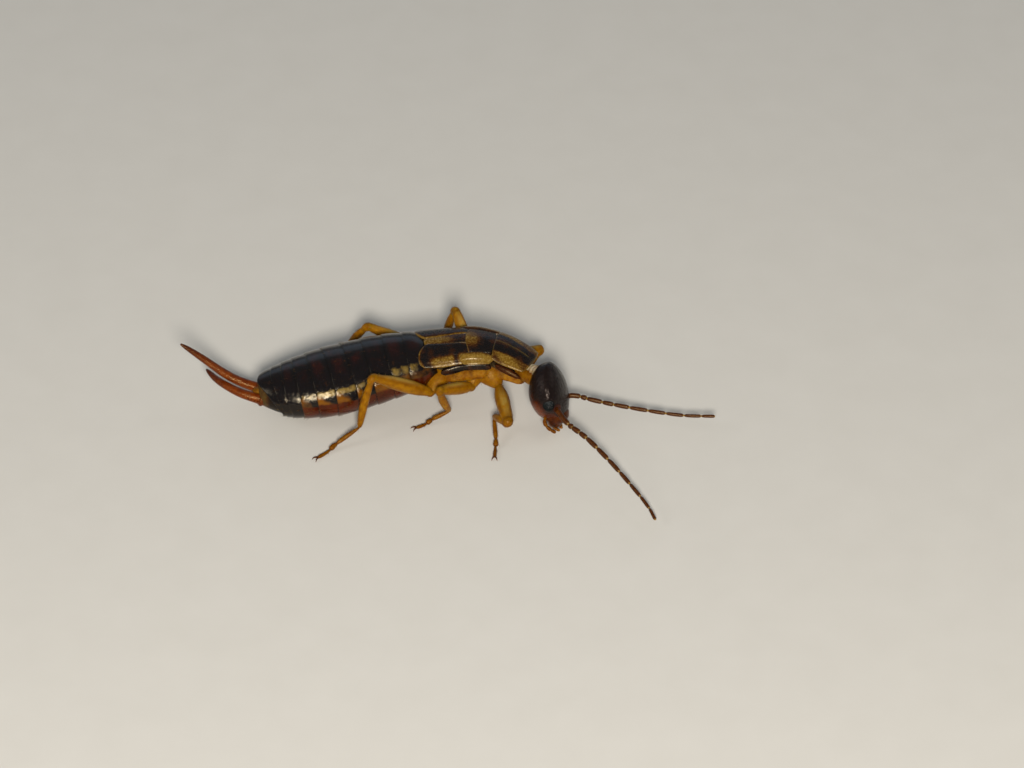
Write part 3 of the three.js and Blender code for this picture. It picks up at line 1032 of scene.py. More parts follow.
class BristleTree(Growth):
    """Short bristles over a skin, thickest where its hairy mark is high, lying along its lie direction."""

    SIDES = 3
    STEPS = 4
    PATCH = 0.003
    BEND = {"Start": (0, 0, -0.05), "Middle": (0.3, 0, 0.3), "End": (1.0, 0, 0.38)}
    SHARPNESS = 0.12
    SIZES = (0.6, 1.15)
    WOBBLE = (0.1, 0.25, 0.45)

    def __init__(self, finish: Material) -> None:
        """Builds the tree.

        Args:
            finish: The bristles' material.
        """
        super().__init__("bristles", {
            "Skin": "Geometry", "Density": "Float", "Length": "Float", "Girth": "Float", "Seed": "Int"})
        skin, density, length, girth, seed = self.given[:5]
        thick = self.math("MULTIPLY", density, self.named("hairy", "FLOAT"))
        roots = self.add("GeometryNodeDistributePointsOnFaces",
                         {"Mesh": skin, "Density": thick, "Seed": seed}, distribute_method="RANDOM")
        turned = self.add(
            "FunctionNodeAlignRotationToVector",
            {"Rotation": roots.outputs["Rotation"], "Vector": self.named("lie", "FLOAT_VECTOR")},
            axis="X", pivot_axis="Z")
        low, high = self.SIZES
        spread = self.add("FunctionNodeRandomValue", {2: low, 3: high, "Seed": seed}, data_type="FLOAT")
        limits = {0: tuple(-x for x in self.WOBBLE), 1: self.WOBBLE, "Seed": seed}
        wobble = self.add("FunctionNodeRandomValue", limits, data_type="FLOAT_VECTOR").outputs[0]
        loose = self.add("FunctionNodeEulerToRotation", {0: wobble})
        placed = self.add("GeometryNodeInstanceOnPoints", {
            "Points": roots.outputs["Points"],
            "Instance": self.hair(length, girth),
            "Rotation": self.add("FunctionNodeRotateRotation", {0: turned, 1: loose}, rotation_space="LOCAL"),
            "Scale": self.math("MULTIPLY", spread.outputs[1], length)})
        whole = self.add("GeometryNodeRealizeInstances", {0: placed})
        self.finished(self.mapped(whole), finish)

    def hair(self, length: Socket, girth: Socket) -> bpy.types.Node:
        """One bent bristle of length one, as thick as it has to be to have its girth once it is scaled.

        Args:
            length: The bristle's length.
            girth: Its radius at the root.

        Returns:
            The node that gives its mesh.
        """
        bent = self.add("GeometryNodeCurveQuadraticBezier", {"Resolution": self.STEPS, **self.BEND})
        share = self.add("GeometryNodeSplineParameter").outputs["Factor"]
        taper = self.add("ShaderNodeMapRange", {"Value": share, "To Min": 1.0, "To Max": self.SHARPNESS})
        slim = self.math("DIVIDE", girth, length)
        ring = self.add("GeometryNodeCurvePrimitiveCircle", {"Resolution": self.SIDES, "Radius": slim})
        return self.add("GeometryNodeCurveToMesh", {
            "Curve": bent, "Profile Curve": ring, "Scale": taper, "Fill Caps": True})

    def mapped(self, bristles: Value) -> bpy.types.Node:
        """Gives every bristle a small patch of the picture map, near its root's place.

        Args:
            bristles: The bristles as one mesh.

        Returns:
            The node that gives them with their map.
        """
        limits = {0: (0, 0, 0), 1: (self.PATCH, self.PATCH, 0)}
        within = self.add("FunctionNodeRandomValue", limits, data_type="FLOAT_VECTOR").outputs[0]
        root = self.named("root_place", "FLOAT_VECTOR")
        patch = self.add("ShaderNodeVectorMath", {0: root, 1: within}, operation="ADD")
        stored = {"Geometry": bristles, "Name": "OFBake", "Value": patch}
        return self.add("GeometryNodeStoreNamedAttribute", stored, data_type="FLOAT2", domain="CORNER")


def grown(name: str, base: Item, tree: Growth, **values: Value) -> Item:
    """Runs a tree on a copy of an object and keeps the plain mesh it gives.

    Args:
        name: The new piece's name.
        base: The object whose surface or curve the tree starts from.
        tree: The tree.
        values: The tree's inputs by name.

    Returns:
        The new object, with no modifier.
    """
    carrier = linked(f"{name}_carrier", base.data.copy())
    modifier = carrier.modifiers.new("growth", "NODES")
    modifier.node_group = tree.tree
    for item in tree.tree.interface.items_tree:
        if item.in_out == "INPUT" and item.name in values:
            modifier[item.identifier] = values[item.name]
    graph = bpy.context.evaluated_depsgraph_get()
    mesh = bpy.data.meshes.new_from_object(carrier.evaluated_get(graph), depsgraph=graph)
    mesh.name = name
    bpy.data.objects.remove(carrier)
    return linked(name, mesh)


class EyeTree(Growth):
    """Turns a ball of triangles into six-sided facets, each raised as a small dome."""

    def __init__(self, finish: Material) -> None:
        """Builds the tree.

        Args:
            finish: The eye's material.
        """
        super().__init__("facets", {"Ball": "Geometry", "Rise": "Float", "Crown": "Float"})
        ball, rise, crown = self.given[:3]
        facets = self.add("GeometryNodeDualMesh", {"Mesh": ball})
        outwards = {"Mesh": facets, "Offset Scale": rise, "Individual": True}
        raised = self.add("GeometryNodeExtrudeMesh", outwards, mode="FACES").outputs
        crowned = self.add("GeometryNodeScaleElements", {
            "Geometry": raised["Mesh"], "Selection": raised["Top"], "Scale": crown})
        self.finished(self.smoothed(crowned), finish)


class FeelerTree(Growth):
    """Sweeps a feeler along a curve: segments that swell to their ends, with narrow joints between."""

    SWELL = ((0.0, 0.5), (0.05, 0.55), (0.13, 0.82), (0.45, 0.97), (0.8, 1.0), (0.92, 0.9), (0.97, 0.58),
             (1.0, 0.5))
    JOINT = ((0.0, 1.0), (0.04, 0.6), (0.09, 0.0), (0.93, 0.0), (0.97, 0.6), (1.0, 1.0))

    def __init__(self, finish: Material, lengths: Sequence[float]) -> None:
        """Builds the tree.

        Args:
            finish: The feeler's material.
            lengths: The segments' lengths beside one another.
        """
        super().__init__("feeler", {
            "Path": "Geometry", "Root": "Float", "Tip": "Float", "Rings": "Int", "Around": "Int"})
        path, root, tip, rings, around = self.given[:5]
        line = self.add("GeometryNodeMeshToCurve", {"Mesh": path})
        even = self.add("GeometryNodeResampleCurve", {"Curve": line, "Count": rings})
        share = self.add("GeometryNodeSplineParameter").outputs["Factor"]
        ends = np.cumsum([0.0, *lengths]) / sum(lengths)
        warp = self.curve([(end, i / len(lengths)) for i, end in enumerate(ends)], share, "VECTOR")
        within = self.math("FRACT", self.math("MULTIPLY", warp, float(len(lengths))))
        slim = self.add("ShaderNodeMapRange", {"Value": share, "To Min": root, "To Max": tip})
        girth = self.math("MULTIPLY", slim.outputs["Result"], self.curve(self.SWELL, within, "AUTO"))
        joint = {"Geometry": even, "Name": "joint", "Value": self.curve(self.JOINT, within, "AUTO")}
        marked = self.add("GeometryNodeStoreNamedAttribute", joint, data_type="FLOAT", domain="POINT")
        ring = self.add("GeometryNodeCurvePrimitiveCircle", {"Resolution": around, "Radius": 1.0})
        swept = self.add("GeometryNodeCurveToMesh", {
            "Curve": marked, "Profile Curve": ring, "Scale": girth, "Fill Caps": True})
        self.finished(self.smoothed(swept), finish)

    def curve(self, pairs: Pairs, value: Value, handles: str) -> Socket:
        """A float curve through pairs of numbers from 0 to 1.

        Args:
            pairs: Places from 0 to 1 with their values.
            value: The place asked for.
            handles: The kind of handle at each pair, which says how sharp the curve turns.

        Returns:
            The value there.
        """
        node = self.add("ShaderNodeFloatCurve", {"Value": value})
        line = node.mapping.curves[0]
        for i, (x, y) in enumerate(pairs):
            point = line.points[i] if i < 2 else line.points.new(x, y)
            point.location = (x, y)
            point.handle_type = handles
        node.mapping.update()
        return node.outputs[0]


# The animal's parts


@dataclass(frozen=True)
class Bristles:
    """How the bristles of one surface stand: how many to the square millimetre, how long and how thick."""

    density: float
    length: float
    girth: float
    seed: int

    def grow(self, name: str, form: Form, tree: BristleTree, slot: Slot) -> None:
        """Grows them on a form.

        Args:
            name: The new piece's name.
            form: The surface, with its hairy and lie marks.
            tree: The tree that plants them.
            slot: The record's slot.
        """
        bed = bpy.data.objects.new(f"{name}_bed", meshed(f"{name}_bed", form))
        coat = grown(name, bed, tree, Density=self.density / MM**2, Length=self.length * MM,
                     Girth=self.girth * MM, Seed=self.seed)
        bpy.data.objects.remove(bed)
        settled(coat, slot)


@dataclass(frozen=True)
class Finishes:
    """Every material, made once and shared."""

    rings: Material
    plates: Material
    belly: Material
    neck: Material
    head: Material
    eyes: Material
    jaws: Material
    feelers: Material
    forceps: Material
    legs: Material
    claws: Material
    breast: Material
    bristles: Material
    bristle_tree: BristleTree

    @classmethod
    def mixed(cls) -> "Finishes":
        """Mixes every material.

        Returns:
            The finished set.
        """
        bristle = Skin("bristle_horn", (0.12, 0.055, 0.016), (0.07, 0.03, 0.01), (0.05, 0.02, 0.01))
        neck = Skin("neck_skin", (0.42, 0.34, 0.22), (0.28, 0.19, 0.09), (0.11, 0.03, 0.002),
                    roughness=(0.45, 0.6), grain=0.012)
        belly = Skin("belly_shell", (0.085, 0.013, 0.0008), (0.045, 0.006, 0.0005), (0.006, 0.004, 0.004))
        breast = Skin("breast_skin", (0.27, 0.11, 0.003), (0.15, 0.045, 0.001), (0.012, 0.005, 0.002),
                      roughness=(0.32, 0.52), grain=0.018)
        jaws = Skin("jaw_shell", (0.085, 0.018, 0.002), (0.035, 0.004, 0.001), (0.010, 0.003, 0.002))
        forceps = Skin("forceps_shell", (0.15, 0.025, 0.0005), (0.09, 0.011, 0.0003), (0.04, 0.003, 0.0002),
                       roughness=(0.2, 0.38), grain=0.012, glow=0.2, gloss=0.42)
        legs = Skin("leg_shell", (0.27, 0.115, 0.002), (0.18, 0.064, 0.001), (0.08, 0.014, 0.0006))
        claws = Skin("claw_horn", (0.10, 0.03, 0.005), (0.06, 0.015, 0.003), (0.02, 0.006, 0.003))
        looks = {
            "rings": RingShell(), "plates": PlateShell(), "belly": belly, "neck": neck, "head": HeadShell(),
            "eyes": EyeGlass(), "jaws": jaws, "feelers": FeelerShell(), "forceps": forceps, "legs": legs,
            "claws": claws, "breast": breast, "bristles": bristle,
        }
        materials = {name: look.material() for name, look in looks.items()}
        return cls(**materials, bristle_tree=BristleTree(materials["bristles"]))


@dataclass
class Abdomen:
    """Ten overlapping rings round a soft core.

    Each ring is a sleeve with a wall: its front lies under the ring before it, and its rear edge is free.
    """

    front: float = -0.62
    rear: float = -6.68
    lengths: tuple[float, ...] = (0.76, 0.7, 0.69, 0.69, 0.72, 0.64, 0.56, 0.46, 0.38, 0.46)
    around: int = 132
    core: float = 0.9
    core_rings: int = 48
    core_around: int = 64
    core_blunt: float = 0.14
    # Degrees from the middle of the back
    flank_from: float = 50
    belly_from: float = 79
    slanted_to: float = 110
    belly_sunk: float = 0.03
    # How strong each ring's gold band is: partly gold cuticle, partly painted highlight
    gold_and_highlight: tuple[float, ...] = (0.5, 0.55, 0.3, 0.9, 1.0, 1.0, 0.5, 0.15, 0.0, 0.0)
    ambers: tuple[float, ...] = (0.4, 0.5, 0.7, 0.8, 0.9, 0.9, 0.5, 0.1, 0.0, 0.0)
    # How far each ring's rear edge runs forward at its sides
    slants: tuple[float, ...] = (0.0, 0.0, 0.0, 0.0, 0.01, 0.05, 0.1, 0.18, 0.34, 0.6)
    # Share along the ring and depth below the body's outline, round the sleeve's wall
    profile: Pairs = (
        (-0.3, 0.06), (-0.12, 0.042), (0.0, 0.031), (0.1, 0.026), (0.2, 0.021), (0.3, 0.017), (0.4, 0.013),
        (0.5, 0.01), (0.6, 0.007), (0.7, 0.0045), (0.8, 0.002), (0.87, 0.0005), (0.93, 0.0), (0.97, 0.002),
        (0.995, 0.008), (1.0, 0.016), (0.985, 0.024), (0.93, 0.032), (0.75, 0.04), (0.45, 0.05), (0.1, 0.07),
        (-0.3, 0.1),
    )
    inner_rows: int = 7

    def spot(self, number: int, share: float, depth: float, angle: float, turn: float) -> np.ndarray:
        """A point of a ring's wall.

        Args:
            number: The ring's number, counted from the front.
            share: The place along the ring.
            depth: How far it is below the body's outline.
            angle: The angle round the body from the middle of the back.
            turn: The same in degrees to either side.

        Returns:
            The point.
        """
        x = self.front - sum(self.lengths[:number]) - share * self.lengths[number]
        before, here = self.slants[max(number - 1, 0)], self.slants[number]
        lean = 1 - math.cos(math.radians(min(turn, self.slanted_to)))
        slant = (before + (here - before) * share) * lean
        squeeze = 0.8 + 0.2 * smooth(self.front - x, -0.25, 0.5) if number == 0 else 1.0
        centre, left, up, wide, high = LINE.section(x + slant)
        return (centre + left * (wide * squeeze - depth) * math.sin(angle)
                + up * (high * squeeze - depth) * math.cos(angle))

    def painted(self, number: int, share: float, turn: float, below: float) -> Marks:
        """The marks at a place of a ring.

        Args:
            number: The ring's number, counted from the front.
            share: The place along the ring.
            turn: The degrees round the body from the middle of the back.
            below: How much the place belongs to the belly.

        Returns:
            The marks by name.
        """
        seen = smooth(share, 0.15, 0.4) * (1 - smooth(share, 0.7, 0.92))
        middle_ring = 1 - 0.7 * min(abs(number - 3.5) / 5, 1)
        flank_from = self.flank_from - 9 * (1 - smooth(number, 1, 3))
        # The gold band along the highlight's line: partly real gold, partly painted highlight
        flank = smooth(turn, flank_from - 1, flank_from + 9) * (1 - smooth(turn, 59, 68))
        reach = 1 - 0.8 * smooth(share, 0.9, 0.96)
        half = smooth(share, 0.2, 0.7) if number == 3 else 1.0
        low = smooth(turn, 56, 84)
        patch = smooth(share, 0.5 - 0.45 * low, 1.1 - 0.5 * low) if number > 2 else 1.0
        rear_seam = 0.25 * smooth(share, 0.95, 0.985) * (1 - 0.7 * below)
        return {
            "blotch": bell(turn, 0, 24) * seen * middle_ring,
            "gold": flank * reach * half * self.gold_and_highlight[number],
            "amber": smooth(turn, 56, 66) * patch * self.ambers[number],
            "gritty": smooth(turn, 42, 50) * (1 - below) * (1 - 0.5 * smooth(number, 6, 8)),
            "under": below * (1 - smooth(number, 5.2, 7.5)),
            # The rear seam is a dark joint; the darkening at the ring's front is painted shade where it tucks
            # under the ring before
            "seam_and_tuck_shade": max(rear_seam, 1 - smooth(share, -0.02, 0.03)),
            "hairy": 0.04 + 0.3 * smooth(turn, 50, 80) + 1.2 * bell(share, 0.93, 0.05),
        }

    def ring(self, number: int) -> Form:
        """One ring.

        Args:
            number: The ring's number, counted from the front.

        Returns:
            The sleeve, marked for its finish.
        """
        shape = (len(self.profile), self.around)
        rows = np.zeros((*shape, 3))
        marks: dict[str, np.ndarray] = {}
        for r, (share, depth) in enumerate(self.profile):
            outside = share > 0.05 and r < len(self.profile) - self.inner_rows
            belly_from = self.belly_from - 4 - 6 * smooth(share, 0.2, 0.9)
            for a in range(self.around):
                angle = FULL_TURN * a / self.around
                turn = abs((math.degrees(angle) + 180) % 360 - 180)
                below = smooth(turn, belly_from, self.belly_from + 9)
                rows[r, a] = self.spot(number, share, depth + self.belly_sunk * below, angle, turn)
                for name, value in self.painted(number, share, turn, below).items():
                    marks.setdefault(name, np.zeros(shape))[r, a] = value
            marks["hairy"][r] *= outside
        return barrel(rows, marks, closed=True).lying((-1.0, -0.15, 0.0))

    def inside(self) -> Form:
        """The soft core that closes the rings, and the rounded end behind the last ring.

        Returns:
            The closed core.
        """
        rings, around = self.core_rings, self.core_around
        rows = np.zeros((rings, around, 3))
        dark, end = np.zeros((rings, around)), np.zeros((rings, around))
        for r in range(rings):
            share = eased(r, rings)
            x = self.front - 0.03 + (self.rear + 0.04 - self.front) * share
            centre, left, up, wide, high = LINE.section(x)
            size = self.core * rounded(share, self.core_blunt)
            end[r] = 0.35 * smooth(share, 0.94, 0.97)
            dark[r] = smooth(share, 0.8, 0.9) * (1 - end[r])
            for a in range(around):
                angle = FULL_TURN * a / around
                across = left * wide * size * math.sin(angle)
                rows[r, a] = centre + across + up * high * size * math.cos(angle)
        return barrel(rows, {"dark": dark, "stripe": end})

    def build(self, finishes: Finishes) -> None:
        """Makes the rings and their core.

        Args:
            finishes: The materials.
        """
        rings = joined(self.ring(number) for number in range(len(self.lengths)))
        piece("abdomen_rings", rings, finishes.rings, Slot.ABDOMEN, "abdomen")
        piece("abdomen_core", self.inside(), finishes.belly, Slot.ABDOMEN)
        coat = Bristles(density=32, length=0.12, girth=0.0045, seed=3)
        coat.grow("abdomen_bristles", rings, finishes.bristle_tree, Slot.ABDOMEN)


@dataclass(frozen=True)
class Spot:
    """A place on a plate: where it is along the body and in degrees round it, and how far from its edges."""

    x: float
    turn: float
    ahead: float
    behind: float
    left: float
    right: float

    @property
    def aside(self) -> float:
        """The distance to the nearer side."""
        return min(self.left, self.right)

    @property
    def nearest(self) -> float:
        """The distance to the nearest edge."""
        return min(self.ahead, self.behind, self.aside)


@dataclass(frozen=True)
class BackPlate:
    """One curved plate of the back, thick in the middle and thin at its edge.

    The edges are in degrees round the body from the middle of the back, growing to the left, at the
    plate's front and at its rear.
    """

    node: str
    front: float
    rear: float
    edges_front: tuple[float, float]
    edges_rear: tuple[float, float]
    corners: float
    thick: float = 0.13
    crown: float = 0.0
    raised: float = 0.0
    eave: float = 0.0
    veins: int = 0
    vein_height: float = 0.005
    bow: float = 0.0
    rows: int = 44
    columns: int = 64

    def spot(self, u: float, v: float) -> tuple[float, float]:
        """The place along the body and round it, in degrees, for u and v from -1 to 1.

        Args:
            u: From the rear, -1, to the front, 1.
            v: From the right, -1, to the left, 1.

        Returns:
            The two places.
        """
        along = (1 + u * (1 - self.corners * (1 - math.sqrt(1 - v * v / 2)))) / 2
        across = (1 + v * (1 - self.corners * (1 - math.sqrt(1 - u * u / 2)))) / 2
        low, high = (r + (f - r) * along for f, r in zip(self.edges_front, self.edges_rear))
        x = self.rear + (self.front - self.rear) * along + self.slide(u, v)
        return x, low + (high - low) * across

    def outward(self, v: float) -> float:
        """How far towards the plate's lower side a point is, from 0 to 1."""
        across = self.edges_front[0] < 0 < self.edges_front[1]
        return abs(v) if across else max(self.lower(v), 0.0)

    def lower(self, v: float) -> float:
        """The place across a plate of one side, from -1 above to 1 below."""
        return v if self.edges_front[1] > 0 else -v

    def slide(self, u: float, v: float) -> float:
        """How far forward of its straight outline a point of the plate is."""
        return self.bow * v * v * u

    def place(self, u: float, v: float, face: int) -> np.ndarray:
        """A point of the plate's upper or lower face.

        Args:
            u: From the rear, -1, to the front, 1.
            v: From the right, -1, to the left, 1.
            face: 1 above, -1 below.

        Returns:
            The point.
        """
        x, turn = self.spot(u, v)
        rim = max(abs(u), abs(v))
        full = math.sqrt(max(1 - rim**14, 0.0))
        swell = self.crown * (1 - u * u) * (1 - v * v)
        vein = max(0.0, math.cos(math.pi * self.veins * v)) ** 2 if self.veins else 0.0
        ridge = self.vein_height * vein * (1 - rim**4)
        level = self.raised + self.eave * self.outward(v) ** 2 - self.thick / 2
        depth = level + face * full * self.thick / 2 + (swell + ridge) * (face > 0)
        return LINE.point(x, math.radians(turn), depth)

    def mark(self, u: float, v: float, face: int) -> Marks:
        """The marks at a point: its border and its patches.

        Args:
            u: From the rear, -1, to the front, 1.
            v: From the right, -1, to the left, 1.
            face: 1 above, -1 below.

        Returns:
            The marks by name.
        """
        x, turn = self.spot(u, v)
        *_, wide, high = LINE.section(x)
        arc = (wide + high) / 2 * math.radians(abs(self.edges_front[1] - self.edges_front[0]))
        long = self.front - self.rear
        ahead, behind, left, right = (1 - u) * long, (1 + u) * long, (1 - v) * arc, (1 + v) * arc
        return self.marking(Spot(x, turn, ahead / 2, behind / 2, left / 2, right / 2))

    def marking(self, at: Spot) -> Marks:
        """The marks at a place."""
        raise NotImplementedError

    def form(self) -> Form:
        """The plate's surface."""
        return pillow(self.place, self.mark, self.rows, self.columns)


@dataclass(frozen=True)
class Pronotum(BackPlate):
    """The neck shield: dark, with broad gold sides and a pale line along its middle."""

    def marking(self, at: Spot) -> Marks:
        """Gold sides, a pale rim and a faint pale middle line.

        Args:
            at: The place.

        Returns:
            The marks by name.
        """
        inner = 27 - 8 * smooth(at.x, 1.7, 2.8)
        side = smooth(abs(at.turn), inner - 4, inner + 6)
        cloud = 0.75 + 0.25 * math.sin(at.x * 5.3 + at.turn * 0.11)
        rim = 1 - smooth(at.nearest, 0.02, 0.06)
        middle = bell(at.turn, 2, 1.6) * 0.3 * smooth(at.ahead, 0.1, 0.3)
        return {"gold": side * cloud * 0.85, "pale": min(1.0, max(0.22 * rim, middle))}


@dataclass(frozen=True)
class Mesonotum(BackPlate):
    """The second plate of the back: dark, with a brownish gold patch in the middle and a pale rear edge."""

    def marking(self, at: Spot) -> Marks:
        """The patch, the rear edge and the side edges.

        Args:
            at: The place.

        Returns:
            The marks by name.
        """
        patch = bell(at.turn, 0, 30) * bell(at.x, self.rear + 0.1, 0.45) * 0.68
        rear = 1 - smooth(at.behind, 0.02, 0.07)
        side = 1 - smooth(at.aside, 0.02, 0.07)
        return {"gold": min(1.0, max(patch, 0.5 * rear, 0.3 * side)), "pale": 0.15 * rear}


@dataclass(frozen=True)
class Metanotum(BackPlate):
    """The third plate of the back, a narrow wedge between the hind pads: brown with pale edges."""

    def marking(self, at: Spot) -> Marks:
        """A brown cloud and thin pale edges.

        Args:
            at: The place.

        Returns:
            The marks by name.
        """
        aside = smooth(at.aside, -0.05, 0.02) * (1 - 0.45 * smooth(abs(at.turn), 5, 12))
        band = 0.62 * aside * (1 - 0.6 * smooth(at.x, -0.1, 0.5))
        return {"gold": band, "pale": 0.15 * (1 - smooth(at.nearest, 0.01, 0.05))}


@dataclass(frozen=True)
class ForewingPad(BackPlate):
    """A fore wing pad: an amber oval, darker along its upper edge and paler along its lower side, where the
    paleness is painted highlight.
    """

    def marking(self, at: Spot) -> Marks:
        """Amber all over, darker above and along its rim, with painted highlight making it paler below.

        Args:
            at: The place.

        Returns:
            The marks by name.
        """
        # Paler and more golden along the lower side: painted highlight
        lower = smooth(abs(at.turn), 44, 54)
        rim = 1 - smooth(at.nearest, 0.015, 0.05)
        rear = 1 - smooth(at.behind, 0.03, 0.09)
        amber = (0.55 + 0.35 * lower) * (1 - 0.5 * rim) * (1 - 0.6 * rear)
        return {"gold": amber, "pale": 0.2 * lower}


@dataclass(frozen=True)
class HindwingPad(BackPlate):
    """A hind wing pad: a dark lobe with a dull gold border, amber along its lower side."""

    def slide(self, u: float, v: float) -> float:
        """Pulls the rear edge forward towards the middle of the back, which leaves a notch there.

        Args:
            u: From the rear, -1, to the front, 1.
            v: From the right, -1, to the left, 1.

        Returns:
            The shift along the body.
        """
        above, below = (1 - self.lower(v)) / 2, (1 + self.lower(v)) / 2
        inner, outer = above**2.2, below**5
        front = -0.05 * below**2 * max(u, 0.0)
        return max(-u, 0.0) * (0.36 * inner + 0.12 * outer) + front

    def marking(self, at: Spot) -> Marks:
        """The border, the lower side, and a painted shadow behind the fore pad's rear end.

        Args:
            at: The place.

        Returns:
            The marks by name.
        """
        inner, outer = (at.right, at.left) if self.edges_front[1] > 0 else (at.left, at.right)
        border = 0.55 * (1 - smooth(min(at.behind, inner + 0.04), 0.07, 0.14))
        # Less gold just behind the fore pad's rear end: painted shadow
        fore_pad_shadow = 0.9 * bell(at.x, 0.4, 0.08)
        below = 0.68 * smooth(abs(at.turn), 37, 50) * smooth(at.x, -0.7, -0.35) * (1 - fore_pad_shadow)
        corner = 0.5 * smooth(abs(at.turn), 30, 55) * (1 - smooth(at.behind, 0.1, 0.2))
        rim = 1 - smooth(min(at.behind, outer), 0.015, 0.05)
        return {"gold": min(1.0, max(border, below, corner)), "pale": 0.2 * rim}


@dataclass
class Back:
    """The plates of the back and the four wing pads."""

    PLATES = (
        Pronotum("pronotum", 2.92, 1.62, (-50, 50), (-61, 61), 0.4, crown=0.03, eave=0.08),
        Mesonotum("mesonotum", 1.7, 0.72, (-42, 42), (-46, 46), 0.12, raised=-0.02, bow=-0.08),
        Metanotum("metanotum", 0.8, -0.66, (-17, 17), (-8, 8), 0.1, raised=-0.05),
    )

    def pads(self, side: Side) -> list[BackPlate]:
        """The two pads of a side.

        Args:
            side: The side of the animal.

        Returns:
            The fore and the hind pad.
        """
        s = side.value

        def turned(low: float, high: float) -> tuple[float, float]:
            """A pair of edges on this side, the smaller first."""
            return (low, high) if s > 0 else (-high, -low)

        return [
            ForewingPad(f"forewing_pad_{side.word}", 1.82, 0.48, turned(39, 71), turned(41, 76), 0.85,
                        crown=0.06, raised=0.02, eave=0.12, veins=3),
            HindwingPad(f"hindwing_pad_{side.word}", 0.86, -1.04, turned(14, 76), turned(5, 62), 0.35,
                        crown=0.05, raised=-0.03, eave=0.08, veins=4),
        ]

    def build(self, finishes: Finishes) -> None:
        """Makes the plates.

        Args:
            finishes: The materials.
        """
        for plate in (*self.PLATES, *self.pads(Side.LEFT), *self.pads(Side.RIGHT)):
            piece(f"{plate.node}_shell", plate.form(), finishes.plates, Slot.BACK, plate.node)


@dataclass
class Thorax:
    """The flesh under the plates, with three dark plates on each flank."""

    front: float = 2.98
    rear: float = -0.86
    wide: float = 0.8
    flank: float = 0.16
    top: float = 0.3
    bottom: float = 0.96
    rings: int = 72
    around: int = 64
    # Where the flesh bulges over the legs' roots
    bulges: tuple[float, ...] = (0.1, 0.5, 0.95, 1.4)
    bulge_long: float = 0.3
    bulge_wide: float = 0.12
    bulge_deep: float = 0.5
    # Folds to the millimetre, as radians
    folds: float = 9.0
    fold_height: float = 0.02
    # The flank plates: middle and half length along the body, middle and half width round it in degrees
    flanks: tuple[tuple[float, float, float, float], ...] = (
        (2.42, 0.46, 69.0, 12.0), (1.14, 0.7, 89.0, 16.0), (0.28, 0.54, 88.0, 15.0))

    plate_sunk: float = 0.1
    plate_thick: float = 0.06
    plate_swell: float = 0.035

    def flesh(self) -> Form:
        """The flesh.

        Returns:
            The closed form.
        """
        rings, around = self.rings, self.around
        rows = np.zeros((rings, around, 3))
        dark = np.zeros((rings, around))
        middle, half = (self.bottom - self.top) / 2, (self.bottom + self.top) / 2
        for r in range(rings):
            share = eased(r, rings)
            x = self.rear + (self.front - self.rear) * share
            size = rounded(share, 0.3)
            centre, left, up, wide, high = LINE.section(x)
            fold = math.sin(x * self.folds)
            over_legs = sum(bell(x, at, self.bulge_long) for at in self.bulges)
            for a in range(around):
                angle = FULL_TURN * a / around
                rise = math.cos(angle)
                below = smooth(-rise, -0.2, 0.4)
                bulge = over_legs * smooth(-rise, -0.3, 0.3)
                spread = wide * (self.wide + self.flank * below)
                spread = spread + self.fold_height * fold + self.bulge_wide * bulge
                deep = high * half * (1 + self.bulge_deep * bulge)
                across = left * spread * size * math.sin(angle)
                rows[r, a] = centre + across + up * (deep * size * rise - high * middle)
                # Darker at the top, under the back plates, as painted shade; darker also along a band of each
                # fold
                creased = 0.4 * smooth(fold, 0.5, 1.0) * (1 - below)
                dark[r, a] = max(smooth(rise, 0.25, 0.4), creased)
        return barrel(rows, {"dark": dark})

    def flank_plate(self, side: Side, middle: float, half: float, turn: float, reach: float) -> Form:
        """A dark plate on one flank.

        Args:
            side: The side it is on.
            middle: Its middle along the body.
            half: Half its length.
            turn: Its middle in degrees round the body.
            reach: Half its width in degrees.

        Returns:
            The plate's surface.
        """

        def place(u: float, v: float, face: int) -> np.ndarray:
            """A point of the plate.

            Args:
                u: From the rear, -1, to the front, 1.
                v: From the upper edge, -1, to the lower one, 1.
                face: 1 outside, -1 inside.

            Returns:
                The point.
            """
            x = middle + u * half * (1 - 0.2 * v * v)
            angle = side.value * (turn + v * reach * (1 - 0.35 * u * u))
            full = math.sqrt(max(1 - max(abs(u), abs(v)) ** 6, 0.0))
            swell = self.plate_swell * (1 - u * u) * (1 - v * v)
            depth = (self.plate_thick * full + swell) * face - self.plate_sunk
            return LINE.point(x, math.radians(angle), depth)

        def mark(_u: float, v: float, _face: int) -> Marks:
            """Dark, with a gold lower edge."""
            return {"gold": 0.3 * max(0.0, v) ** 2, "dark": 0.55}

        return pillow(place, mark, 30, 18)

    def build(self, finishes: Finishes) -> None:
        """Makes the flesh and the flank plates.

        Args:
            finishes: The materials.
        """
        piece("thorax_flesh", self.flesh(), finishes.breast, Slot.UNDERSIDE, "thorax")
        first = joined(self.flank_plate(side, *self.flanks[0]) for side in Side)
        piece("neck_flank_plates", first, finishes.jaws, Slot.UNDERSIDE)
        others = joined(self.flank_plate(side, *sizes) for side in Side for sizes in self.flanks[1:])
        piece("flank_plates", others, finishes.plates, Slot.UNDERSIDE)


